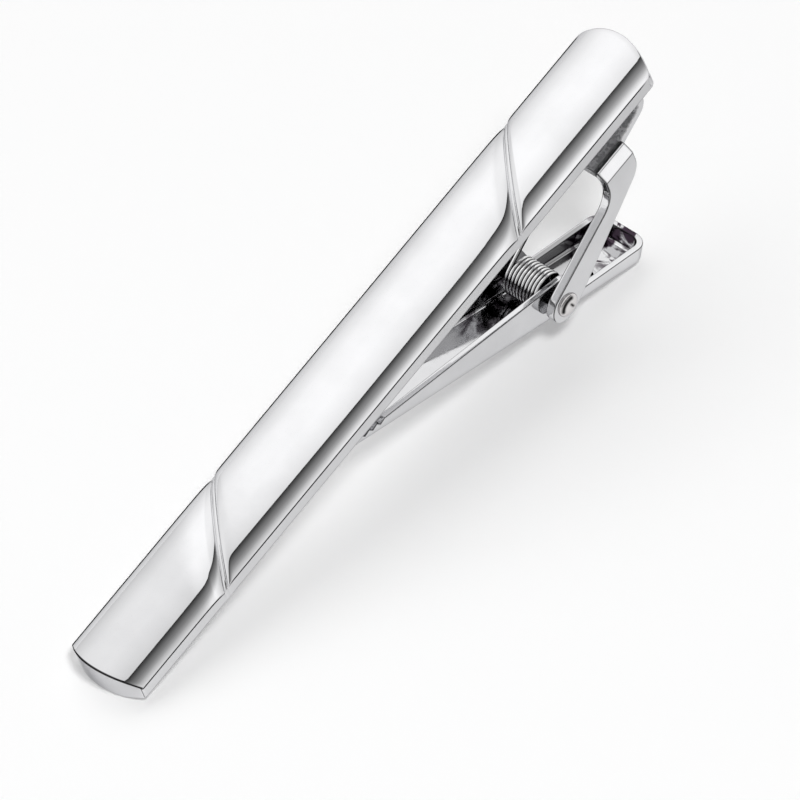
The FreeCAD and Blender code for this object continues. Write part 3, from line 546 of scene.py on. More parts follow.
def strap_surface(clip):
    """The strap: a strip carried from under the saddle up to the fold, round it and along the bar's back.

    The last two grids mark the painted dark reflection lines, and the inner face, which is rougher and
    darkened with painted shade."""
    bracket = clip.bracket
    end = clip.bar.full_length / 2
    lift, heel_round, step = 0.004 * MM, 0.8 * MM, 0.06 * MM
    faint = 0.3
    fold = bracket.fold_drop / 2 - lift
    middle = np.array([end - bracket.strap_inset - bracket.fold_drop / 2, -bracket.fold_drop / 2])
    heel = np.array([end - bracket.saddle_inset, -bracket.saddle_drop - bracket.sheet - lift])
    start = np.array([heel[0] - bracket.saddle_length / 2, heel[1]])
    away = heel - middle
    touch = math.atan2(away[1], away[0]) + math.acos(fold / np.linalg.norm(away))
    turn = np.linspace(touch, math.pi / 2, 61)
    arc = middle + fold * np.stack([np.cos(turn), np.sin(turn)], -1)
    run_in = rounded_path([start, heel, arc[0]], [heel_round], step)[:-1]
    sole = np.linspace(0, bracket.foot_reach - bracket.foot_corner, 20)[1:]
    toe = bracket.foot_reach - bracket.foot_corner * (1 - np.sin(np.linspace(0, math.pi / 2, 12)[1:]))
    d = np.concatenate([sole, toe])
    foot = np.stack([middle[0] - d, 0 * d + arc[-1, 1]], -1)
    path = np.concatenate([run_in, arc, foot])
    way = np.gradient(path, axis=0)
    way /= np.linalg.norm(way, axis=1)[:, None]
    normal = np.stack([way[:, 1], 0 * way[:, 0], -way[:, 0]], -1)
    past = np.clip(d - bracket.foot_reach + bracket.foot_corner, 0, bracket.foot_corner)
    half = np.full(len(path), bracket.strap_width / 2)
    half[-len(d):] -= bracket.foot_corner - np.sqrt(np.maximum(bracket.foot_corner**2 - past**2, 0))
    edges = [np.stack([path[:, 0], side * half, path[:, 1]], -1) for side in (1, -1)]
    points, faces, corner = ribbon(edges[0], edges[1], normal, bracket.sheet, bracket.edge_round)
    inside = np.zeros(corner.shape)
    # the inner face is rougher and darkened with painted shade
    inside[:, INNER_FACE] = 1.0
    return points, faces, faint * corner, inside


def joined(*surfaces):
    """Several point grids with their faces and marks as one."""
    points, faces, marks = [], [], []
    count = 0
    for grid, corners, *shares in surfaces:
        flat = grid.reshape(-1, 3)
        points.append(flat)
        faces += [[n + count for n in face] for face in corners]
        marks.append([share.ravel() for share in shares])
        count += len(flat)
    return np.concatenate(points), faces, *(np.concatenate(column) for column in zip(*marks))


def bead_surface(clip):
    """The solder: a hollow fillet carried round the foot's three free sides, its reach wandering a little."""
    bracket = clip.bracket
    fold_x = clip.bar.full_length / 2 - bracket.strap_inset - bracket.fold_drop / 2
    foot_x = fold_x - bracket.foot_reach
    half = bracket.strap_width / 2
    corners = [(fold_x, -half), (foot_x, -half), (foot_x, half), (fold_x, half)]
    step, under_foot, hollowness = 0.06 * MM, -0.1, 0.75
    path = rounded_path(corners, [bracket.foot_corner] * 2, step)
    along = np.gradient(path, axis=0)
    along /= np.linalg.norm(along, axis=1)[:, None]
    out = np.stack([along[:, 1], -along[:, 0]], -1)
    far = np.linspace(0, 1, len(path))
    wander = 0.06 * np.sin(37 * far) + 0.04 * np.sin(91 * far + 1)
    reach = bracket.bead_leg * (0.9 + wander)
    turn = np.linspace(0, math.pi / 2, 9)
    round_side = np.stack([1 - np.sin(turn), 1 - np.cos(turn)], -1)
    flat_side = np.stack([1 - turn / turn[-1], turn / turn[-1]], -1)
    side = hollowness * round_side + (1 - hollowness) * flat_side
    section = np.concatenate([[[under_foot, 0]], [[1, 0]], side[1:-1], [[0, 1]], [[under_foot, 1]]])
    offset = section[None, :, 0] * reach[:, None]
    drop = section[None, :, 1] * reach[:, None]
    flat = path[:, None] + out[:, None] * offset[..., None]
    points = np.concatenate([flat, -drop[..., None]], -1)
    rows, columns = points.shape[:2]
    faces = grid_quads(rows, columns, close_columns=True)
    return points, faces + [list(range(columns)), list(range((rows - 1) * columns, rows * columns))]


def rivet_surface(bracket):
    """The rivet: a half outline turned about its axis, with a domed head at each end of the shank.

    The last grid marks the painted dark reflections in the heads: a crescent and a short stroke."""
    fullness, dish_share, dish_fade = 2.6, 0.5, 0.1
    half, shank, head = bracket.width / 2, bracket.pin_diameter / 2, bracket.head_diameter / 2
    radius = head * np.sin(np.linspace(0, 1, 40) * math.pi / 2)
    swell = np.sqrt(np.clip(1 - (radius / head) ** fullness, 0, 1))
    dish = bracket.head_dish / (1 + np.exp((radius - dish_share * head) / (dish_fade * head)))
    crown = np.stack([radius, half + bracket.head_height * swell - dish], -1)
    outline = np.concatenate([crown, [[shank, half]]])
    outline = np.concatenate([outline, (outline * [1, -1])[::-1]])
    turn = np.linspace(0, 2 * math.pi, 96, endpoint=False)[:, None]
    radius, along = outline[None, :, 0], outline[None, :, 1]
    points = np.stack([radius * np.cos(turn), along + 0 * turn, radius * np.sin(turn)], -1)
    # painted dark reflection: a crescent round the head and a short stroke across it
    arc_turn, arc_share, arc_width = 2.0, 0.8, 0.13
    stroke_side, stroke_width, stroke_up, stroke_half = 0.15, 0.11, 0.12, 0.34
    share = radius / head
    arc = np.clip(3 * np.cos(turn - arc_turn) - 0.9, 0, 1)
    crescent = 1.3 * np.exp(-(((share - arc_share) / arc_width) ** 2)) * arc
    side, up = share * np.cos(turn), share * np.sin(turn)
    across = (side + 0.3 * up - stroke_side) / stroke_width
    stroke = np.exp(-(across**2) - ((up - stroke_up) / stroke_half) ** 4)
    return points, grid_quads(*points.shape[:2], close_rows=True), np.clip(crescent + stroke, 0, 1)


def lever_rim(lever):
    """The rim's height along the lever: notches behind the tip, a rise to the lugs, then the thumb plate."""
    floor = -lever.floor_depth + lever.sheet
    tip = np.array([-lever.jaw_length, floor + lever.jaw_lip])
    lug = np.array([lever.lug_reach, lever.lug_height])
    root = np.array([lever.thumb_root, -lever.floor_depth + lever.wall_root])
    thumb = np.array([lever.thumb_length, -lever.floor_depth + lever.wall_end])
    path = rounded_path([tip, lug, root, thumb], [lever.lug_round, lever.root_round], 0.12 * MM)
    slope = (lug - tip) / np.linalg.norm(lug - tip)
    count = lever.tooth_count
    at = lever.tooth_start + lever.tooth_pitch * (np.arange(2 * count + 1) - 1) / 2
    sunk = np.where(np.arange(2 * count + 1) % 2 == 1, lever.tooth_depth, 0.0)
    teeth = tip + at[:, None] * slope + sunk[:, None] * np.array([slope[1], -slope[0]])
    before = path[path[:, 0] < teeth[0, 0] - 1e-6]
    after = path[path[:, 0] > teeth[-1, 0] + 1e-6]
    return np.concatenate([before, teeth, after])


def lever_surface(lever):
    """The lever: a wall section with a bent foot, carried from the near side of the tip round the thumb end
    and back.

    Each station runs from the floor's middle line, outside, up the wall, over the rim and down again inside.
    The last two grids are the marks of lever_marks."""
    half, sheet = lever.width / 2, lever.sheet
    low, floor = -lever.floor_depth, -lever.floor_depth + sheet
    rim = lever_rim(lever)
    end, curve, bevel = lever.thumb_length, lever.thumb_round, lever.edge_round
    wall = np.concatenate([rim[rim[:, 0] < end - curve - 1e-6, 0], [end - curve]])
    near = np.stack([wall, np.full(len(wall), -half)], -1)
    turn = np.linspace(0, math.pi / 2, 17)[1:]
    outward = np.stack([np.sin(turn), -np.cos(turn)], -1)
    corner = np.array([end - curve, -half + curve]) + curve * outward
    across = np.stack([np.full(5, end), np.linspace(-half + curve, 0, 6)[1:]], -1)
    plan = np.concatenate([near, corner, across])
    inward = np.concatenate([np.tile([0.0, 1.0], (len(near), 1)), -outward, np.tile([-1.0, 0.0], (5, 1))])
    spine = np.stack([np.minimum(plan[:, 0], end - half), 0 * plan[:, 0]], -1)
    mirror = np.array([1.0, -1.0])
    plan = np.concatenate([plan, (plan * mirror)[-2::-1]])
    inward = np.concatenate([inward, (inward * mirror)[-2::-1]])
    spine = np.concatenate([spine, spine[-2::-1]])
    height = np.interp(plan[:, 0], rim[:, 0], rim[:, 1])[:, None]
    part = np.linspace(0, 1, 13)[None]

    def side(radius, inset, base):
        """One face from the floor up: distance inward and height."""
        bend = np.arccos(np.clip(1 - (height - bevel - base) / radius, 0, 1)) * part
        deep = inset + radius * (1 - np.sin(bend))
        high = base + radius * (1 - np.cos(bend))
        top = high[:, -1:]
        lift = np.maximum(height - bevel, top) - top
        rise = np.array([0.35, 0.7, 1.0])[None] * np.maximum(lift - bevel * 2, 0)
        deep = np.concatenate([deep, np.repeat(deep[:, -1:], 4, axis=1)], axis=1)
        return deep, np.concatenate([high, top + rise, top + lift], axis=1)

    out_deep, out_high = side(lever.bend + sheet, 0.0, low)
    in_deep, in_high = side(lever.bend, sheet, floor)
    quarter = np.linspace(0, math.pi / 2, 4)[None, 1:]
    arc_deep, arc_high = bevel * (1 - np.cos(quarter)), bevel * (1 - np.sin(quarter))
    start, stop = out_deep[:, -1:], in_deep[:, -1:]
    edge_deep = [start + arc_deep, start + 3 * bevel, stop - 3 * bevel, stop - arc_deep[:, ::-1]]
    edge_high = [height - arc_high, height, height, height - arc_high[:, ::-1]]
    deep = np.concatenate([out_deep, *edge_deep, in_deep[:, ::-1]], axis=1)
    high = np.concatenate([out_high, *edge_high, in_high[:, ::-1]], axis=1)
    middle = spine[:, None]
    flat = np.concatenate([middle, plan[:, None] + inward[:, None] * deep[..., None], middle], axis=1)
    high = np.concatenate([np.full_like(height, low), high, np.full_like(height, floor)], axis=1)
    points = np.concatenate([flat, high[..., None]], -1)
    rows, columns = points.shape[:2]
    wall_top = out_deep.shape[1]
    steps = np.arange(wall_top)
    cap = np.stack([steps, steps + 1, columns - 2 - steps, columns - 1 - steps], -1)
    lid = np.arange(wall_top, columns - in_deep.shape[1])
    last = (rows - 1) * columns
    caps = cap.tolist() + [lid.tolist()] + (cap + last).tolist() + [(lid + last).tolist()]
    return points, grid_quads(rows, columns) + caps, *lever_marks(flat / MM, np.arange(columns) - wall_top)


def lever_marks(plan, past):
    """The painted dark reflection lines along the lever's rim, the painted shade on its far wall, and the
    painted blotches of shade and dark reflection inside it.

    Plan is millimetres from the rivet, along the lever and across it, and past counts the columns from the
    top of the wall's outside over the rim. Each mark rises and falls in straight lines along the lever."""
    along, across = plan[..., 0], plan[..., 1]
    # painted dark reflection lines along the rim
    rim = np.interp(past, [0, 1, 2, 3, 6, 7, 8, 9], [0.15, 1, 1, 0, 0, 1, 1, 0.15], 0, 0)
    # painted shade on the far wall's inside
    far_wall = 0.5 * (across > 1.2) * (past > 3) * np.clip(along, 0, 1) * np.clip(9.5 - along, 0, 1)
    # painted dark reflections in the thumb end and painted shade by the spring
    thumb = np.clip((along - 6.2) / 1.5, 0, 1)
    by_spring = 0.8 * np.clip(along / 1.5 + 4, 0, 1) * np.clip(2 - along, 0, 1)
    thumb_rim = np.clip(along - 9, 0, 1) * (past > 1) * (across > -1.4)
    return np.maximum(rim, far_wall), np.where(past > 9, np.maximum(thumb, by_spring), thumb_rim)


def spring_line(clip):
    """The wire's centre line about the rivet: the upper leg, an even coil from the far side to the near one,
    and the lower leg."""
    spring, bracket, lever = clip.spring, clip.bracket, clip.lever
    turn_steps, leg_step = 72, 0.08 * MM
    firm = 1.5 * spring.wire + spring.leg_bend
    inset, drop = clip.bar.full_length / 2 - spring.leg_inset, bracket.saddle_drop + bracket.sheet
    seat = np.array([inset, -drop]) - pin_place(clip)[[0, 2]]
    knee = seat - np.array([0, firm])
    rise = math.atan2(knee[1], knee[0]) - math.asin(spring.coil / np.linalg.norm(knee))
    lean = clip.seat.closed
    along = np.array([math.cos(lean), -math.sin(lean)])
    up = np.array([math.sin(lean), math.cos(lean)])
    rest = along * spring.lever_leg + up * (-lever.floor_depth + lever.sheet + spring.leg_clearance)
    elbow = rest + up * firm
    fall = -math.atan2(elbow[1], elbow[0]) - math.asin(spring.coil / np.linalg.norm(elbow))
    start, finish = math.pi / 2 + rise, 1.5 * math.pi - fall + 2 * math.pi * spring.turns
    turn = np.linspace(start, finish, turn_steps * spring.turns)
    place = spring.far_side - (spring.far_side + spring.near_side) * np.linspace(0, 1, len(turn))
    coil = np.stack([spring.coil * np.cos(turn), place, spring.coil * np.sin(turn)], -1)
    legs = []
    upper, lower = (seat, knee, coil[0, [0, 2]]), (coil[-1, [0, 2]], elbow, rest)
    for corners, y in ((upper, spring.far_side), (lower, -spring.near_side)):
        run = rounded_path(corners, [spring.leg_bend], leg_step)
        legs.append(np.stack([run[:, 0], np.full(len(run), y), run[:, 1]], -1))
    return np.concatenate([legs[0][:-1], coil, legs[1][1:]])


def tube(line, radius, sides):
    """A round wire: a circle carried along a line that never runs along Y.

    The last grid marks its two flanks, the sides facing along Y, where painted shade falls between the turns."""
    way = np.gradient(line, axis=0)
    way /= np.linalg.norm(way, axis=1)[:, None]
    level = np.array([0.0, 1.0, 0.0])
    first = level - way * way[:, 1:2]
    first /= np.linalg.norm(first, axis=1)[:, None]
    second = np.cross(way, first)
    turn = np.linspace(0, 2 * math.pi, sides, endpoint=False)[None, :, None]
    points = line[:, None] + radius * (np.cos(turn) * first[:, None] + np.sin(turn) * second[:, None])
    rows = len(line)
    faces = grid_quads(rows, sides, close_columns=True)
    caps = [list(range(sides)), list(range((rows - 1) * sides, rows * sides))]
    # painted shade on the flanks
    flank = np.clip(2.6 * np.abs(np.cos(turn[0, :, 0])) - 1.1, 0, 1)
    return points, faces + caps, np.broadcast_to(flank, (rows, sides))


def feed(tree, socket, value):
    """Links a socket to another node's output, or sets it to a plain value."""
    if isinstance(value, bpy.types.NodeSocket):
        tree.links.new(value, socket)
    else:
        socket.default_value = value


def node(tree, kind, place, sockets=None, **options):
    """A new node at a place of the node editor, with its options set and its sockets fed."""
    made = tree.nodes.new(kind)
    made.location = place
    for key, value in options.items():
        setattr(made, key, value)
    for key, value in (sockets or {}).items():
        feed(tree, made.inputs[key], value)
    return made


def noise(tree, place, where, scale, detail, distortion=0.0):
    """A cloudy number that changes over the surface."""
    sockets = {"Vector": where, "Scale": scale, "Detail": detail, "Distortion": distortion}
    return node(tree, "ShaderNodeTexNoise", place, sockets).outputs["Fac"]


def spread(tree, place, value, low, high, start=0.0, end=1.0):
    """A number carried from the range start to end into the range low to high."""
    sockets = {"Value": value, "From Min": start, "From Max": end, "To Min": low, "To Max": high}
    return node(tree, "ShaderNodeMapRange", place, sockets).outputs["Result"]


def combined(tree, place, operation, first, second):
    """Two numbers put together by an operation."""
    return node(tree, "ShaderNodeMath", place, {0: first, 1: second}, operation=operation).outputs["Value"]


def marked(tree, place, name):
    """A mark of the mesh, as a number."""
    return node(tree, "ShaderNodeAttribute", place, attribute_name=name).outputs["Fac"]


def darkened(tree, place, share, shade, dark):
    """A colour turned to a dark one by a share."""
    sockets = {"Factor": share, "A": shade, "B": (*dark, 1.0)}
    return node(tree, "ShaderNodeMix", place, sockets, data_type="RGBA").outputs["Result"]


def blotched(tree, where, shade, mark, scale, dark):
    """A colour with dark, winding blotches of painted shade where the mesh carries the mark."""
    cloud = noise(tree, (-1100, 700), where, scale, detail=3.0, distortion=1.2)
    blot = spread(tree, (-850, 700), cloud, 0.0, 1.0, start=0.44, end=0.54)
    share = combined(tree, (-600, 700), "MULTIPLY", blot, marked(tree, (-850, 850), mark))
    return darkened(tree, (-400, 600), share, shade, dark)


def metal(name, finish, tint, haze, wander, lumps, dents, stain=0.0, marks=()):
    """Plated metal: a tint and a haze that wander over the surface, and shallow dents lumps metres across.

    Marks names those of the mesh's marks that the piece carries: painted dark reflection lines and shade,
    rougher patches with painted shade, and painted shade and dark reflections inside the lever."""
    made = bpy.data.materials.new(name)
    made.use_nodes = True
    tree = made.node_tree
    where = node(tree, "ShaderNodeTexCoord", (-1100, 0)).outputs["Object"]
    cloud = noise(tree, (-850, 250), where, scale=320.0, detail=4.0)
    ramp = node(tree, "ShaderNodeValToRGB", (-600, 250), {"Fac": cloud})
    stained, clean = ramp.color_ramp.elements
    stained.position, clean.position = 0.35, 0.65
    stained.color = [c * (0.95 - stain) for c in tint] + [1.0]
    clean.color = list(tint) + [1.0]
    shade, edge_on = ramp.outputs["Color"], (*finish.rim, 1.0)
    grain = noise(tree, (-850, -50), where, scale=1400.0, detail=5.0)
    haziness = spread(tree, (-600, -50), grain, haze, haze + wander, start=0.3, end=0.7)
    relief = noise(tree, (-850, -350), where, scale=1.0 / lumps, detail=2.0)
    bump = node(tree, "ShaderNodeBump", (-300, -350), {"Height": relief, "Strength": 1.0, "Distance": dents})
    # painted shade and dark reflections in winding blotches inside the lever
    if "tarnish" in marks:
        shade = blotched(tree, where, shade, "tarnish", scale=620.0, dark=finish.tarnish)
    # painted dark reflection lines and shade, in the colour and in the tint seen edge on
    if "edge_line" in marks:
        lines = marked(tree, (-600, 500), "edge_line")
        shade = darkened(tree, (-300, 350), lines, shade, finish.line)
        edge_on = darkened(tree, (-300, 150), lines, edge_on, finish.line)
    # painted shade in blotches where the metal is also rougher
    if "dull" in marks:
        shade = blotched(tree, where, shade, "dull", scale=2300.0, dark=finish.dull)
        rough = spread(tree, (-380, -150), marked(tree, (-600, -250), "dull"), low=0.0, high=0.5)
        haziness = combined(tree, (-180, -100), "MAXIMUM", rough, haziness)
    plating = {
        "Base Color": shade,
        "Metallic": 1.0,
        "Roughness": haziness,
        "Specular Tint": edge_on,
        "Normal": bump.outputs["Normal"],
    }
    for key, value in plating.items():
        feed(tree, tree.nodes["Principled BSDF"].inputs[key], value)
    return made


class TIECLIP_OT_front_bar(bpy.types.Operator):
    """Make the domed front bar with its two pairs of slanted cuts"""

    bl_idname = "tieclip.front_bar"
    bl_label = "Front bar"

    def execute(self, context):
        clip = context.scene.tie_clip
        finish = metal(
            "polished_bar",
            clip.finish,
            clip.finish.bar,
            haze=0.025,
            wander=0.03,
            lumps=0.7 * MM,
            dents=0.0006 * MM,
            marks=("edge_line",),
        )
        points, faces, lines = bar_surface(clip.bar)
        seated = on_bar(clip, points)
        piece = new_piece("polished_front_bar", seated, faces, finish, sharp=55.0, edge_line=lines)
        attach(piece, "bar_body")
        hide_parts("front_bar")
        return {"FINISHED"}


class TIECLIP_OT_hinge_bracket(bpy.types.Operator):
    """Make the folded strap, the saddle and its two ears, and the solder round the foot"""

    bl_idname = "tieclip.hinge_bracket"
    bl_label = "Hinge bracket and solder"

    def execute(self, context):
        clip = context.scene.tie_clip
        finish = metal(
            "plated_bracket",
            clip.finish,
            clip.finish.sheet,
            haze=0.05,
            wander=0.06,
            lumps=1.1 * MM,
            dents=0.004 * MM,
            marks=("edge_line", "dull"),
        )
        points, faces, lines, dull = joined(ears_surface(clip), strap_surface(clip))
        seated = on_bar(clip, points)
        piece = new_piece("folded_hinge_bracket", seated, faces, finish, edge_line=lines, dull=dull)
        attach(piece, "bar_body")
        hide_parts("hinge_bracket")
        solder = metal(
            "dull_solder",
            clip.finish,
            clip.finish.solder,
            haze=0.35,
            wander=0.3,
            lumps=0.4 * MM,
            dents=0.03 * MM,
            stain=0.2,
        )
        points, faces = bead_surface(clip)
        bead = new_piece("solder_fillet", on_bar(clip, points), faces, solder, sharp=60.0)
        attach(bead, "bar_body")
        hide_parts("solder_bead")
        return {"FINISHED"}


class TIECLIP_OT_hinge_pin(bpy.types.Operator):
    """Make the rivet through the ears and the lever"""

    bl_idname = "tieclip.hinge_pin"
    bl_label = "Hinge rivet"

    def execute(self, context):
        clip = context.scene.tie_clip
        finish = metal(
            "rivet_plating",
            clip.finish,
            clip.finish.rivet,
            haze=0.08,
            wander=0.08,
            lumps=0.5 * MM,
            dents=0.003 * MM,
            marks=("edge_line",),
        )
        points, faces, lines = rivet_surface(clip.bracket)
        seated = on_bar(clip, points.reshape(-1, 3) + pin_place(clip))
        piece = new_piece("hinge_rivet", seated, faces, finish, edge_line=lines)
        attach(piece, "bar_body")
        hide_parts("hinge_pin")
        return {"FINISHED"}


class TIECLIP_OT_clip_lever(bpy.types.Operator):
    """Make the channel-shaped lever with its toothed jaw and thumb plate"""

    bl_idname = "tieclip.clip_lever"
    bl_label = "Clip lever"

    def execute(self, context):
        clip = context.scene.tie_clip
        finish = metal(
            "plated_lever",
            clip.finish,
            clip.finish.sheet,
            haze=0.05,
            wander=0.07,
            lumps=1.2 * MM,
            dents=0.004 * MM,
            marks=("edge_line", "tarnish"),
        )
        points, faces, lines, blotch = lever_surface(clip.lever)
        seated = on_bar(clip, turned(points.reshape(-1, 3), -clip.seat.closed) + pin_place(clip))
        piece = new_piece("clip_lever_channel", seated, faces, finish, edge_line=lines, tarnish=blotch)
        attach(piece, "lever_body")
        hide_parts("clip_lever")
        return {"FINISHED"}


class TIECLIP_OT_torsion_spring(bpy.types.Operator):
    """Make the wire spring round the rivet, wound up between the bracket and the lever"""

    bl_idname = "tieclip.torsion_spring"
    bl_label = "Torsion spring"

    def execute(self, context):
        clip = context.scene.tie_clip
        finish = metal(
            "drawn_wire",
            clip.finish,
            clip.finish.wire,
            haze=0.08,
            wander=0.1,
            lumps=0.3 * MM,
            dents=0.002 * MM,
            marks=("edge_line",),
        )
        points, faces, lines = tube(spring_line(clip), clip.spring.wire / 2, sides=20)
        seated = on_bar(clip, points.reshape(-1, 3) + pin_place(clip))
        piece = new_piece("wound_spring", seated, faces, finish, edge_line=lines)
        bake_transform(piece)
        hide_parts("torsion_spring")
        return {"FINISHED"}


def tone_ramp(tree, place, along, tones):
    """A ramp of greys from (place, brightness) pairs, brightness up to two and written as half of it."""
    ramp = node(tree, "ShaderNodeValToRGB", place, {"Fac": along})
    stops = ramp.color_ramp.elements
    for n, (at, tone) in enumerate(tones):
        stop = stops[n] if n < 2 else stops.new(at)
        stop.position = at
        stop.color = (tone / 2, tone / 2, tone / 2, 1.0)
    return ramp.outputs["Color"]


def card(name, clip, low, high, across, along, distance):
    """A long curved card beside the bar, seen only in the metal, from its low edge up to the angle high.

    Angles are taken off the bar's front, towards the near side. The low edge is a line of (place, angle)
    pairs, and the brightness across the card is multiplied by the brightness along it."""
    reach, start_behind, columns = 5, 2.204, 41
    share = np.concatenate([[0, 0.3, 0.45], np.linspace(0.47, 0.53, 31), [0.55, 0.7, 1]])
    start = np.radians(np.interp(share, *zip(*low)))[:, None]
    turn = start + (math.radians(high) - start) * np.linspace(0, 1, columns)
    x = (reach * share - start_behind) * distance
    grid = np.stack(np.broadcast_arrays(x[:, None], -distance * np.sin(turn), distance * np.cos(turn)), -1)
    mesh = bpy.data.meshes.new(name)
    mesh.from_pydata(on_bar(clip, grid.reshape(-1, 3)).tolist(), [], grid_quads(len(share), columns))
    corner = np.empty(len(mesh.loops), int)
    mesh.loops.foreach_get("vertex_index", corner)
    place = np.stack([corner % columns / (columns - 1), share[corner // columns]], -1)
    mesh.uv_layers.new(name="place").data.foreach_set("uv", place.astype(np.float32).ravel())
    glow = bpy.data.materials.new(name)
    glow.use_nodes = True
    tree = glow.node_tree
    tree.nodes.clear()
    where = node(tree, "ShaderNodeTexCoord", (-800, 0)).outputs["UV"]
    split = node(tree, "ShaderNodeSeparateXYZ", (-600, 0), {"Vector": where})
    tone_across = tone_ramp(tree, (-400, 150), split.outputs["X"], across)
    tone_along = tone_ramp(tree, (-400, -150), split.outputs["Y"], along)
    level = spread(tree, (-120, -150), tone_along, low=0.0, high=4.0)
    light = node(tree, "ShaderNodeEmission", (80, 0), {"Color": tone_across, "Strength": level})
    node(tree, "ShaderNodeOutputMaterial", (280, 0), {"Surface": light.outputs["Emission"]})
    mesh.materials.append(glow)
    made = bpy.data.objects.new(name, mesh)
    made.visible_camera = made.visible_diffuse = made.visible_shadow = False
    bpy.context.scene.collection.objects.link(made)


def tent(studio):
    """The white tent: full white to the camera and in the metal, dimmer as light on the ground."""
    world = bpy.data.worlds.new("white_tent")
    bpy.context.scene.world = world
    world.use_nodes = True
    tree = world.node_tree
    path = node(tree, "ShaderNodeLightPath", (-900, 0))
    seen = combined(tree, (-700, 0), "MAXIMUM", path.outputs["Is Camera Ray"], path.outputs["Is Glossy Ray"])
    seen = combined(tree, (-500, 0), "MAXIMUM", seen, path.outputs["Is Transmission Ray"])
    back = tree.nodes["Background"]
    back.inputs["Color"].default_value = (1.0, 1.0, 1.0, 1.0)
    feed(tree, back.inputs["Strength"], spread(tree, (-250, 0), seen, low=studio.fill, high=1.0))


def ground():
    """A wide white sheet under the clip, which keeps the shadow.

    To the metal it is greyer but glows, more under and behind the clip than in front of it, so that the
    shadow doesn't blacken the faces that are turned down."""
    size = 3.0
    front, under = -15 * MM, -4 * MM
    mesh = bpy.data.meshes.new("white_ground")
    corners = [(-size, -size, 0), (size, -size, 0), (size, size, 0), (-size, size, 0)]
    mesh.from_pydata(corners, [], [(0, 1, 2, 3)])
    paper = bpy.data.materials.new("white_ground")
    paper.use_nodes = True
    tree = paper.node_tree
    camera_ray = node(tree, "ShaderNodeLightPath", (-700, 0)).outputs["Is Camera Ray"]
    where = node(tree, "ShaderNodeTexCoord", (-900, -300)).outputs["Object"]
    side = node(tree, "ShaderNodeSeparateXYZ", (-700, -300), {"Vector": where}).outputs["Y"]
    glow = spread(tree, (-500, -300), side, low=0.3, high=0.55, start=front, end=under)
    sheet = {
        "Base Color": spread(tree, (-250, 100), camera_ray, low=0.6, high=0.93),
        "Roughness": 0.9,
        "Specular IOR Level": 0.0,
        "Emission Color": (1.0, 1.0, 1.0, 1.0),
        "Emission Strength": spread(tree, (-250, -200), camera_ray, low=glow, high=0.03),
    }
    for key, value in sheet.items():
        feed(tree, tree.nodes["Principled BSDF"].inputs[key], value)
    mesh.materials.append(paper)
    made = bpy.data.objects.new("white_ground", mesh)
    bpy.context.scene.collection.objects.link(made)


def softbox(name, away, distance, wide, high, watts):
    """A soft lamp that lights the ground, seen neither by the camera nor in the metal."""
    lamp = bpy.data.lights.new(name, "AREA")
    lamp.shape = "RECTANGLE"
    lamp.size, lamp.size_y = wide, high
    lamp.energy = watts
    made = bpy.data.objects.new(name, lamp)
    away = Vector(away).normalized()
    made.location = away * distance
    made.rotation_euler = away.to_track_quat("Z", "Y").to_euler()
    made.visible_camera = made.visible_glossy = False
    bpy.context.scene.collection.objects.link(made)


def camera(studio):
    """A camera with a very long lens, so that lines along the bar stay nearly parallel."""
    azimuth, level = studio.azimuth, math.cos(studio.elevation)
    back = Vector((math.sin(azimuth) * level, -math.cos(azimuth) * level, math.sin(studio.elevation)))
    right = Vector((math.cos(azimuth), math.sin(azimuth), 0.0))
    up = back.cross(right)
    data = bpy.data.cameras.new("camera")
    data.sensor_width = 36.0
    data.lens = studio.lens / MM
    data.clip_end = 50.0
    made = bpy.data.objects.new("camera", data)
    distance = studio.field * data.lens / data.sensor_width
    aim = Vector((studio.aim_x, studio.aim_y, studio.aim_z))
    turn = Matrix((right, up, back)).transposed().to_4x4()
    made.matrix_world = Matrix.Translation(aim + back * distance) @ turn
    bpy.context.scene.collection.objects.link(made)
    bpy.context.scene.camera = made


# Which way the lamps lie from the origin, which is on the ground under the clip
KEY_FROM = (-0.234, -0.405, 0.884)
FAR_FROM = (0.0, 0.5, 0.87)
# Brightness across and along the card that lights the bar's front, and its low edge
SKY = [
    (0.0, 0.96), (0.06, 1.02), (0.156, 1.08), (0.25, 1.18), (0.346, 1.25), (0.44, 1.36), (0.536, 1.4),
    (0.726, 1.4), (0.822, 1.32), (0.918, 1.21), (1.0, 1.1),
]
SKY_ALONG = [(0.47, 0.8), (0.4868, 0.83), (0.4888, 0.99), (0.525, 1.0), (0.54, 0.9)]
SKY_LOW = [(0.0, -130), (1.0, -130)]
# The same for the card that draws the dark band along the bar's near side
SHADE = [
    (0.0, 0.02), (0.017, 0.04), (0.05, 0.09), (0.1, 0.15), (0.183, 0.27), (0.233, 0.33), (0.333, 0.55),
    (0.4, 0.8), (0.483, 1.05), (0.53, 1.1), (0.9, 1.1), (1.0, 0.9),
]
SHADE_ALONG = [(0.486, 0.85), (0.495, 1.1), (0.506, 1.1), (0.5135, 1.25), (0.53, 1.1), (0.6, 0.7)]
SHADE_LOW = [(0.486, 34.2), (0.495, 35), (0.505, 33.5), (0.5135, 30.5), (0.53, 30.5), (0.6, 33)]


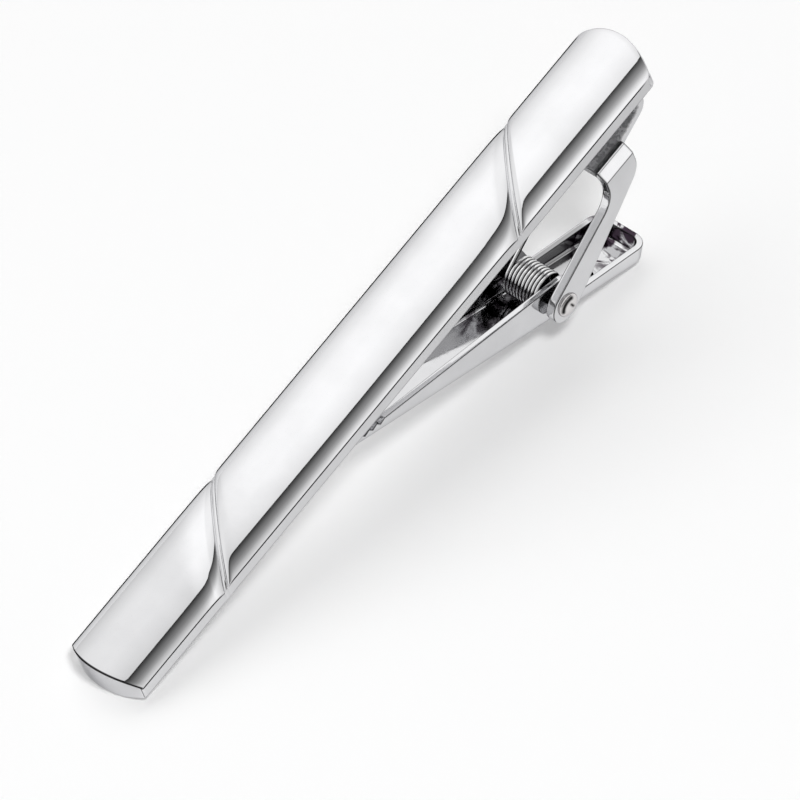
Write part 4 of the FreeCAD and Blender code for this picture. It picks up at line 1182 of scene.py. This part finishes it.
class TIECLIP_OT_studio(bpy.types.Operator):
    """Make the white tent, the ground, the lamps, the cards that shade the metal, and the camera"""

    bl_idname = "tieclip.studio"
    bl_label = "Studio"

    def execute(self, context):
        clip = context.scene.tie_clip
        context.scene.view_settings.view_transform = "Standard"
        tent(clip.studio)
        ground()
        softbox("key_softbox", KEY_FROM, distance=1.2, wide=0.24, high=0.24, watts=clip.studio.key)
        softbox("far_softbox", FAR_FROM, distance=1.0, wide=1.8, high=0.8, watts=clip.studio.far)
        card("sky_card", clip, SKY_LOW, 38, SKY, SKY_ALONG, distance=0.3)
        card("near_shade", clip, SHADE_LOW, 95, SHADE, SHADE_ALONG, distance=0.295)
        camera(clip.studio)
        return {"FINISHED"}


BUTTONS = (
    TIECLIP_OT_front_bar,
    TIECLIP_OT_hinge_bracket,
    TIECLIP_OT_hinge_pin,
    TIECLIP_OT_clip_lever,
    TIECLIP_OT_torsion_spring,
    TIECLIP_OT_studio,
)


class TIECLIP_PT_panel(bpy.types.Panel):
    """One button for each piece of the clip, and one for the studio"""

    bl_idname = "TIECLIP_PT_panel"
    bl_label = "Tie clip"
    bl_space_type = "VIEW_3D"
    bl_region_type = "UI"
    bl_category = "Tie clip"

    def draw(self, context):
        for button in BUTTONS:
            self.layout.operator(button.bl_idname)


CLASSES = (
    TIECLIP_PG_seat,
    TIECLIP_PG_bar,
    TIECLIP_PG_bracket,
    TIECLIP_PG_lever,
    TIECLIP_PG_spring,
    TIECLIP_PG_finish,
    TIECLIP_PG_studio,
    TIECLIP_PG_clip,
    *BUTTONS,
    TIECLIP_PT_panel,
)


def register():
    """Adds the classes, and the clip's settings to every scene."""
    for kind in CLASSES:
        bpy.utils.register_class(kind)
    bpy.types.Scene.tie_clip = bpy.props.PointerProperty(type=TIECLIP_PG_clip)


def unregister():
    """Takes the settings and the classes away again."""
    del bpy.types.Scene.tie_clip
    for kind in reversed(CLASSES):
        bpy.utils.unregister_class(kind)


def main():
    """Builds every piece and the studio."""
    register()
    bpy.ops.tieclip.front_bar()
    bpy.ops.tieclip.hinge_bracket()
    bpy.ops.tieclip.hinge_pin()
    bpy.ops.tieclip.clip_lever()
    bpy.ops.tieclip.torsion_spring()
    bpy.ops.tieclip.studio()


if __name__ == "__main__":
    main()
